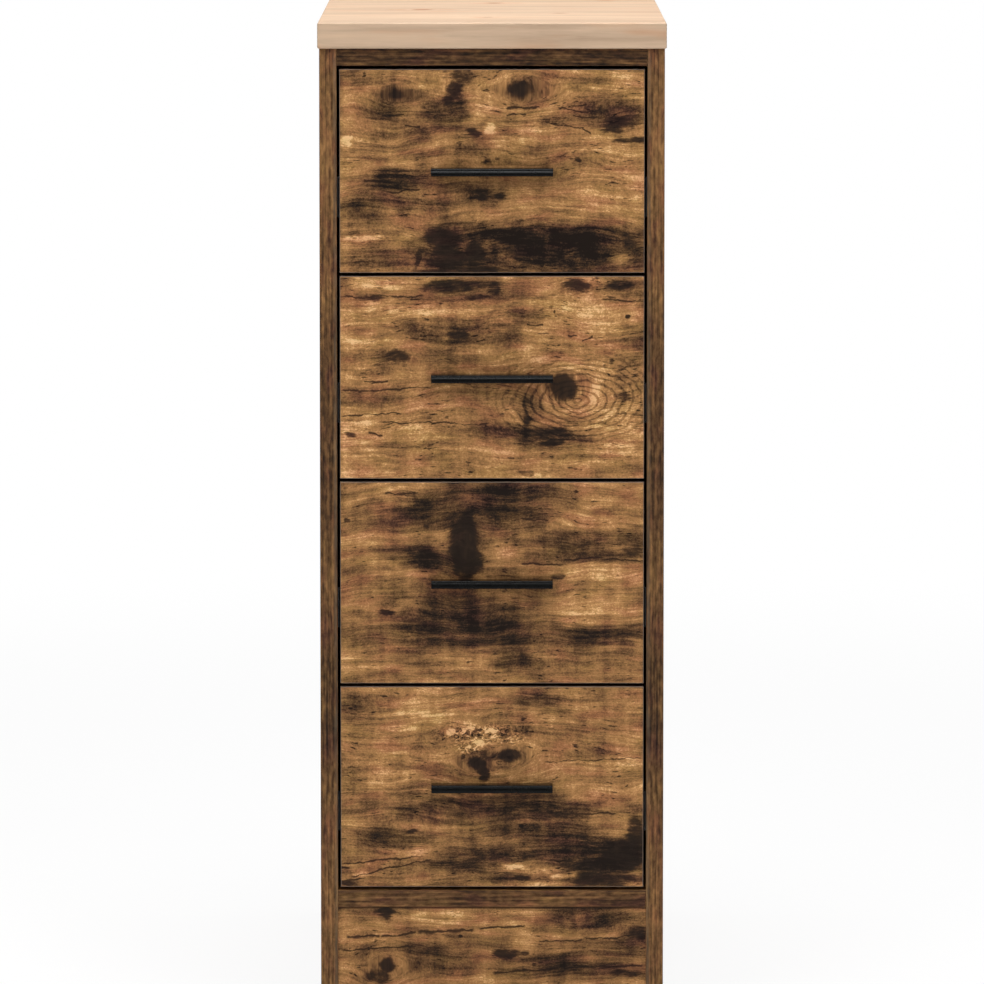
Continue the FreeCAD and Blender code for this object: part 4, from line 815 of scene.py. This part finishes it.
# %% Zinc-plated steel and runner steel
def drawn_steel(name, lines, spots, dark, pale, streaky, sheen):
    """Steel with fine lines along Y. Lines and spots are changes per millimetre along X, Y and Z, and
    the sheen is the range of its roughness."""
    steel, g, shader = new_material(name)
    place = g.parts(g.place())
    fine = g.stretched(place, lines)
    coarse = g.stretched(place, spots)
    rough = g.add(g.times(fine, streaky), g.span(coarse, 0.3, 0.7, *sheen))
    finish_with(g, shader, g.ramp(coarse, [(0.3, dark), (0.7, pale)]), rough,
                g.relief(fine, 0.00003, 0.4), Metallic=1.0)
    return steel


zinc = drawn_steel("zinc_plated_steel", (2.4, 0.05, 2.4), (0.12, 0.12, 0.12), (168, 171, 175),
                   (205, 207, 209), 0.16, (0.20, 0.32))
runner_steel = drawn_steel("runner_steel", (2.0, 0.03, 2.0), (0.10, 0.02, 0.10), (66, 66, 67),
                           (96, 96, 97), 0.14, (0.34, 0.46))

# %% Bearing steel
bearing, g, shader = new_material("bearing_steel")
grease = g.noise(g.place(), 0.5)
finish_with(g, shader, g.ramp(grease, [(0.35, (140, 138, 132)), (0.65, (190, 190, 188))]),
            g.span(grease, 0.3, 0.7, 0.16, 0.34), g.relief(grease, 0.00002, 0.3), Metallic=1.0)

# %% Moulded plastic
moulded, g, shader = new_material("moulded_black_plastic")
place = g.place()
texture = g.noise(place, 2.2, 2.0, 0.5)
scuff = g.noise(place, 0.08, 4.0, 0.7)
finish_with(g, shader, g.ramp(scuff, [(0.4, (30, 30, 31)), (0.72, (58, 57, 56))]),
            g.span(scuff, 0.3, 0.7, 0.48, 0.66), g.relief(texture, 0.00006, 0.5))

# %% Beech
beech, g, shader = new_material("beech")
flecks = g.stretched(g.parts(g.place()), (0.12, 1.1, 1.1))
finish_with(g, shader, g.ramp(flecks, [(0.35, (196, 152, 110)), (0.65, (222, 184, 142))]),
            g.span(flecks, 0.3, 0.7, 0.50, 0.62), g.relief(flecks, 0.0001, 0.4))

# %% Dress what is left
dress("back_panel", felted)
dress("carcass_dowels", beech)
dress("floor_glides", moulded)
for node in ("cam_bolts", "cam_locks", "worktop_screws", "back_panel_nails", "wall_brackets",
             "wall_bracket_screws", "cabinet_runner_screws"):
    dress(node, zinc)
for drawer in DRAWERS:
    for board in ("left_side", "right_side", "back"):
        dress(f"drawer_{drawer}_{board}", foil)
    dress(f"drawer_{drawer}_bottom", felted)
    dress(f"drawer_{drawer}_fixings", zinc)
    dress(f"drawer_{drawer}_runners", runner_steel)
    dress(f"cabinet_runners_{drawer}", runner_steel)
    dress(f"ball_cages_{drawer}", bearing)
print("finishes", len(bpy.data.materials))

# %% [markdown]
# ## Screws with a cross recess
# Real screws are headed and thread-rolled from wire, and a punch forms the cross. Here one tree of
# geometry nodes turns the screw's profile, cuts the cross out of its head and puts a copy on every
# place. The places and the way each screw points are read from the ready-made screws, and each one
# stops at its own turn, as screws do. The bodies of the screws keep their length and diameter.

# %% The steps of the screw tree
SIDES = 28


def turned_shell(g, profile):
    """A closed shell from rings between the points (height, radius) of a profile."""
    shell = g.node("GeometryNodeJoinGeometry")
    for (start, radius), (end, next_radius) in zip(profile, profile[1:]):
        ring = g.node("GeometryNodeMeshCone", fill_type="NONE")
        for label, source in (("Vertices", SIDES), ("Radius Bottom", radius),
                              ("Radius Top", next_radius), ("Depth", g.less(end, start))):
            g.feed(ring.inputs[label], source)
        moved = g.node("GeometryNodeTransform")
        g.feed(moved.inputs["Geometry"], ring.outputs["Mesh"])
        g.feed(moved.inputs["Translation"], g.vector(0.0, 0.0, start))
        g.feed(shell.inputs[0], moved.outputs[0])
    turned = g.node("GeometryNodeMergeByDistance")
    g.feed(turned.inputs["Geometry"], shell.outputs[0])
    turned.inputs["Distance"].default_value = 0.000002
    return turned.outputs[0]


def cut_cross(g, turned, face, given):
    """The turned screw with two crossed bars cut out of its face."""
    cut = g.node("GeometryNodeMeshBoolean", operation="DIFFERENCE", solver="EXACT")
    g.feed(cut.inputs["Mesh 1"], turned)
    wide, narrow, deep = given["Cross Length"], given["Cross Width"], g.times(given["Cross Depth"], 2.0)
    bars = g.node("GeometryNodeMeshBoolean", operation="UNION", solver="EXACT")
    for across in (g.vector(wide, narrow, deep), g.vector(narrow, wide, deep)):
        bar = g.node("GeometryNodeMeshCube")
        g.feed(bar.inputs["Size"], across)
        g.feed(bars.inputs["Mesh 2"], bar.outputs["Mesh"])
    cross = g.node("GeometryNodeTransform")
    g.feed(cross.inputs["Geometry"], bars.outputs["Mesh"])
    g.feed(cross.inputs["Translation"], g.vector(0.0, 0.0, face))
    g.feed(cut.inputs["Mesh 2"], cross.outputs[0])
    return cut.outputs["Mesh"]


def copies_on_places(g, screw, given):
    """A copy of the screw on every place, each at its own turn, as one mesh with its finish."""
    points_to = g.node("GeometryNodeInputNamedAttribute", data_type="FLOAT_VECTOR")
    points_to.inputs["Name"].default_value = "points_to"
    aim = g.node("FunctionNodeAlignRotationToVector", axis="Z")
    g.feed(aim.inputs["Vector"], points_to.outputs[0])
    copies = g.node("GeometryNodeInstanceOnPoints")
    g.feed(copies.inputs["Points"], given["Places"])
    g.feed(copies.inputs["Instance"], screw)
    g.feed(copies.inputs["Rotation"], aim.outputs[0])
    chance = g.node("FunctionNodeRandomValue", data_type="FLOAT")
    chance.inputs[3].default_value = math.pi / 2
    g.feed(chance.inputs["Seed"], given["Seed"])
    stopped = g.node("GeometryNodeRotateInstances")
    g.feed(stopped.inputs["Instances"], copies.outputs[0])
    g.feed(stopped.inputs["Rotation"], g.vector(0.0, 0.0, chance.outputs[1]))
    real = g.node("GeometryNodeRealizeInstances")
    g.feed(real.inputs["Geometry"], stopped.outputs[0])
    finish = g.node("GeometryNodeSetMaterial")
    g.feed(finish.inputs["Geometry"], real.outputs[0])
    g.feed(finish.inputs["Material"], given["Finish"])
    return finish.outputs[0]


# %% The screw tree
SCREW_SIZES = ("Head Diameter", "Head Height", "Shank Diameter", "Length", "Tip", "Cross Length",
               "Cross Width", "Cross Depth")


def screw_tree(name, countersunk):
    """Geometry nodes: a screw on each point. In its own frame a screw points along +Z, and the seat
    of its head is at 0. Returns the tree, the identifiers of its inputs, and how many head heights
    the head stands out below the seat."""
    tree = bpy.data.node_groups.new(name, "GeometryNodeTree")
    tree.interface.new_socket("Places", in_out="INPUT", socket_type="NodeSocketGeometry")
    inputs = {}
    for label in SCREW_SIZES + ("Seed", "Finish"):
        kind = {"Seed": "Int", "Finish": "Material"}.get(label, "Float")
        made = tree.interface.new_socket(label, in_out="INPUT", socket_type="NodeSocket" + kind)
        inputs[label] = made.identifier
    tree.interface.new_socket("Screws", in_out="OUTPUT", socket_type="NodeSocketGeometry")
    g = Wiring(tree, name)
    given = g.node("NodeGroupInput").outputs
    head, shank = g.share(given["Head Diameter"], 2.0), g.share(given["Shank Diameter"], 2.0)
    height, length = given["Head Height"], given["Length"]
    tip_start = g.less(length, given["Tip"])
    if countersunk:
        face = 0.0
        profile = [(0.0, 0.0), (0.0, head), (height, shank), (tip_start, shank), (length, 0.0)]
    else:
        face = g.less(0.0, height)
        profile = [(face, 0.0), (face, g.times(head, 0.62)), (g.times(face, 0.82), g.times(head, 0.86)),
                   (g.times(face, 0.5), head), (0.0, head), (0.0, shank), (tip_start, shank),
                   (length, 0.0)]
    turned = turned_shell(g, profile)
    crossed = cut_cross(g, turned, face, given)
    g.feed(g.node("NodeGroupOutput").inputs["Screws"], copies_on_places(g, crossed, given))
    return tree, inputs, 0.0 if countersunk else 1.0


pan_kind = screw_tree("pan head screws", False)
countersunk_kind = screw_tree("countersunk screws", True)
print("screw trees of", len(pan_kind[0].nodes), "and", len(countersunk_kind[0].nodes), "nodes")

# %% [markdown]
# ## From ready-made screws to turned ones
# Like screws share one node. Its loose triangles are sorted into single screws by their common
# corners, and the box of each one says where its screw sits.


# %% Find the single screws
def single_pieces(node):
    """The boxes of the separate solids that share one node."""
    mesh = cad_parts[node].data
    owner = list(range(len(mesh.vertices)))

    def root(vertex):
        while owner[vertex] != vertex:
            owner[vertex] = owner[owner[vertex]]
            vertex = owner[vertex]
        return vertex

    seen = {}
    for vertex in mesh.vertices:
        spot = tuple(round(value, 6) for value in vertex.co)
        owner[root(vertex.index)] = root(seen.setdefault(spot, vertex.index))
    for face in mesh.polygons:
        for corner in face.vertices[1:]:
            owner[root(corner)] = root(face.vertices[0])
    boxes = {}
    for vertex in mesh.vertices:
        low, high = boxes.setdefault(root(vertex.index), (vertex.co.copy(), vertex.co.copy()))
        for axis in range(3):
            low[axis] = min(low[axis], vertex.co[axis])
            high[axis] = max(high[axis], vertex.co[axis])
    return sorted(boxes.values(), key=lambda box: tuple(box[0]))


print("worktop screws found", len(single_pieces("worktop_screws")))


# %% Grow the turned screws
def grow_screws(node, kind, points_to, sizes, finish=zinc):
    """Replaces a node of screws by turned ones with a cross recess. points_to gives a screw's
    direction for the middle of its box; sizes are in millimetres."""
    tree, inputs, heads_below_seat = kind
    places, ways = [], []
    for low, high in single_pieces(node):
        middle = (low + high) / 2
        way = Vector(points_to(middle))
        head_to_middle = max(high - low) / 2 - sizes["Head Height"] * MM * heads_below_seat
        places.append(middle - way * head_to_middle)
        ways.append(way)
    points = bpy.data.meshes.new(node + "_places")
    points.from_pydata(places, [], [])
    stored = points.attributes.new("points_to", "FLOAT_VECTOR", "POINT")
    for item, way in zip(stored.data, ways):
        item.vector = way
    holder = bpy.data.objects.new(node + "_places", points)
    bpy.context.scene.collection.objects.link(holder)
    grown = holder.modifiers.new("screws", "NODES")
    grown.node_group = tree
    for label, value in sizes.items():
        grown[inputs[label]] = value * MM
    grown[inputs["Seed"]] = 7
    grown[inputs["Finish"]] = finish
    settled = holder.evaluated_get(bpy.context.evaluated_depsgraph_get())
    mesh = bpy.data.meshes.new_from_object(settled)
    mesh.name = node + "_turned"
    mesh.materials.clear()
    mesh.materials.append(finish)
    holder.modifiers.remove(grown)
    bpy.data.objects.remove(holder)
    piece = bpy.data.objects.new(node + "_turned", mesh)
    bpy.context.scene.collection.objects.link(piece)
    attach(piece, "cabinet")
    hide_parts(node)
    print(node, len(places), "screws,", len(mesh.polygons), "faces")


# %% Screws of the worktop, the wall brackets and the runners
pan = {"Head Diameter": 7.6, "Head Height": 2.4, "Tip": 2.5, "Cross Length": 4.2, "Cross Width": 0.9,
       "Cross Depth": 1.5}
countersunk = {"Head Diameter": 6.4, "Head Height": 1.6, "Tip": 2.5, "Cross Length": 3.4,
               "Cross Width": 0.8, "Cross Depth": 1.2}
grow_screws("worktop_screws", pan_kind, lambda middle: (0.0, 0.0, 1.0),
            {**pan, "Shank Diameter": 4.0, "Length": 30.0})
grow_screws("wall_bracket_screws", pan_kind, lambda middle: (0.0, 0.0, 1.0),
            {**pan, "Shank Diameter": 3.5, "Length": 13.0})
grow_screws("cabinet_runner_screws", countersunk_kind,
            lambda middle: (math.copysign(1.0, middle.x), 0.0, 0.0),
            {**countersunk, "Shank Diameter": 3.2, "Length": 10.5})

# %% [markdown]
# ## Floor, light and camera
# The floor is a pale sheet that looks white to the camera and still takes the cabinet's shadow. From
# below it is clear, so that the glides and the underside can be looked at.
# Two soft boxes high in front, one on each side, give the pulls a short double shadow that is
# darkest in its middle. A third one right above makes the worktop bright, a weak one far in front
# draws the line on the pulls, one behind lights the back, and a weak white surround fills the rest.

# %% Floor
bpy.ops.mesh.primitive_plane_add(size=60.0, location=(0.0, 0.0, -0.2 * MM))
floor = bpy.context.active_object
floor.name = "studio_floor"
floor_paint = bpy.data.materials.new("studio_floor")
floor_paint.use_nodes = True
g = Wiring(floor_paint.node_tree, "studio floor")
g.tree.nodes.clear()
matt = g.node("ShaderNodeBsdfDiffuse")
matt.inputs["Color"].default_value = (0.86, 0.86, 0.86, 1.0)
glow = g.node("ShaderNodeEmission")
glow.inputs["Strength"].default_value = 1.0
path = g.node("ShaderNodeLightPath")
spot = g.node("ShaderNodeTexCoord")
distance = g.node("ShaderNodeVectorMath", operation="LENGTH")
g.feed(distance.inputs[0], spot.outputs["Object"])
glow_share = g.span(distance.outputs["Value"], 1.2, 3.0, 0.88, 1.0)
mix = g.node("ShaderNodeMixShader")
g.feed(mix.inputs[0], g.times(path.outputs["Is Camera Ray"], glow_share))
g.feed(mix.inputs[1], matt.outputs[0])
g.feed(mix.inputs[2], glow.outputs[0])
clear = g.node("ShaderNodeBsdfTransparent")
side = g.node("ShaderNodeNewGeometry")
seen = g.node("ShaderNodeMixShader")
g.feed(seen.inputs[0], side.outputs["Backfacing"])
g.feed(seen.inputs[1], mix.outputs[0])
g.feed(seen.inputs[2], clear.outputs[0])
g.feed(g.node("ShaderNodeOutputMaterial").inputs[0], seen.outputs[0])
floor.data.materials.append(floor_paint)
print("floor at", round(floor.location.z / MM, 2), "mm")

# %% World
SURROUND = 0.22
WHITE_TO_THE_CAMERA = 1.0
world = bpy.data.worlds.new("studio")
bpy.context.scene.world = world
world.use_nodes = True
g = Wiring(world.node_tree, "studio")
g.tree.nodes.clear()
path = g.node("ShaderNodeLightPath")
mix = g.node("ShaderNodeMixShader")
g.feed(mix.inputs[0], path.outputs["Is Camera Ray"])
for socket, strength in ((mix.inputs[1], SURROUND), (mix.inputs[2], WHITE_TO_THE_CAMERA)):
    white = g.node("ShaderNodeBackground")
    white.inputs["Color"].default_value = (1.0, 1.0, 1.0, 1.0)
    white.inputs["Strength"].default_value = strength
    g.feed(socket, white.outputs[0])
g.feed(g.node("ShaderNodeOutputWorld").inputs[0], mix.outputs[0])
print("surround", SURROUND)


# %% Soft boxes
def soft_box(name, azimuth, elevation, distance, width, power, aim):
    """A square area lamp that looks at a point; azimuth 0 is straight in front."""
    lamp = bpy.data.lights.new(name, "AREA")
    lamp.shape = "SQUARE"
    lamp.size = width
    lamp.energy = power
    holder = bpy.data.objects.new(name, lamp)
    bpy.context.scene.collection.objects.link(holder)
    turn, rise = math.radians(azimuth), math.radians(elevation)
    away = Vector((math.sin(turn) * math.cos(rise), -math.cos(turn) * math.cos(rise), math.sin(rise)))
    holder.location = Vector(aim) + away * distance
    holder.rotation_euler = (-away).to_track_quat("-Z", "Y").to_euler()
    print(name, power, "W")


mid_front = (0.0, front_plane, 0.5)
soft_box("left_soft_box", -38, 40, 3.2, 1.3, 28.8, mid_front)
soft_box("right_soft_box", 38, 40, 3.2, 1.3, 28.8, mid_front)
soft_box("top_soft_box", 0, 88, 2.6, 1.6, 80.0, (0.0, 0.0, 0.86))
soft_box("rear_soft_box", 180, 62, 3.2, 1.3, 14.0, (0.0, 0.0, 0.5))
soft_box("front_soft_box", 0, 12, 7.5, 0.85, 20.0, mid_front)

# %% [markdown]
# ## Camera
# The picture is taken from far away with a long lens, a little above the worktop, so that the front
# is seen square on and the top as a narrow strip. Lens, pitch and shift bring the front to its scale
# and the worktop's front edge to its height in a picture of 984 by 984 pixels.

# %% Camera
EYE_DISTANCE = 6.5
EYE_ABOVE_WORKTOP = 0.293
PITCH = 5.79
LENS = 274.2
SHIFT = -0.05

scene = bpy.context.scene
camera_data = bpy.data.cameras.new("camera")
camera = bpy.data.objects.new("camera", camera_data)
scene.collection.objects.link(camera)
scene.camera = camera
camera_data.sensor_width = 36.0
camera_data.sensor_fit = "HORIZONTAL"
camera.location = (0.0, front_plane - EYE_DISTANCE, worktop_high.z + EYE_ABOVE_WORKTOP)
camera.rotation_euler = (math.radians(90.0 - PITCH), 0.0, 0.0)
camera_data.shift_y = SHIFT
camera_data.lens = LENS
camera_data.clip_end = 100.0
scene.view_settings.view_transform = "Standard"
print("eye", [round(v, 3) for v in camera.location], "lens", LENS)
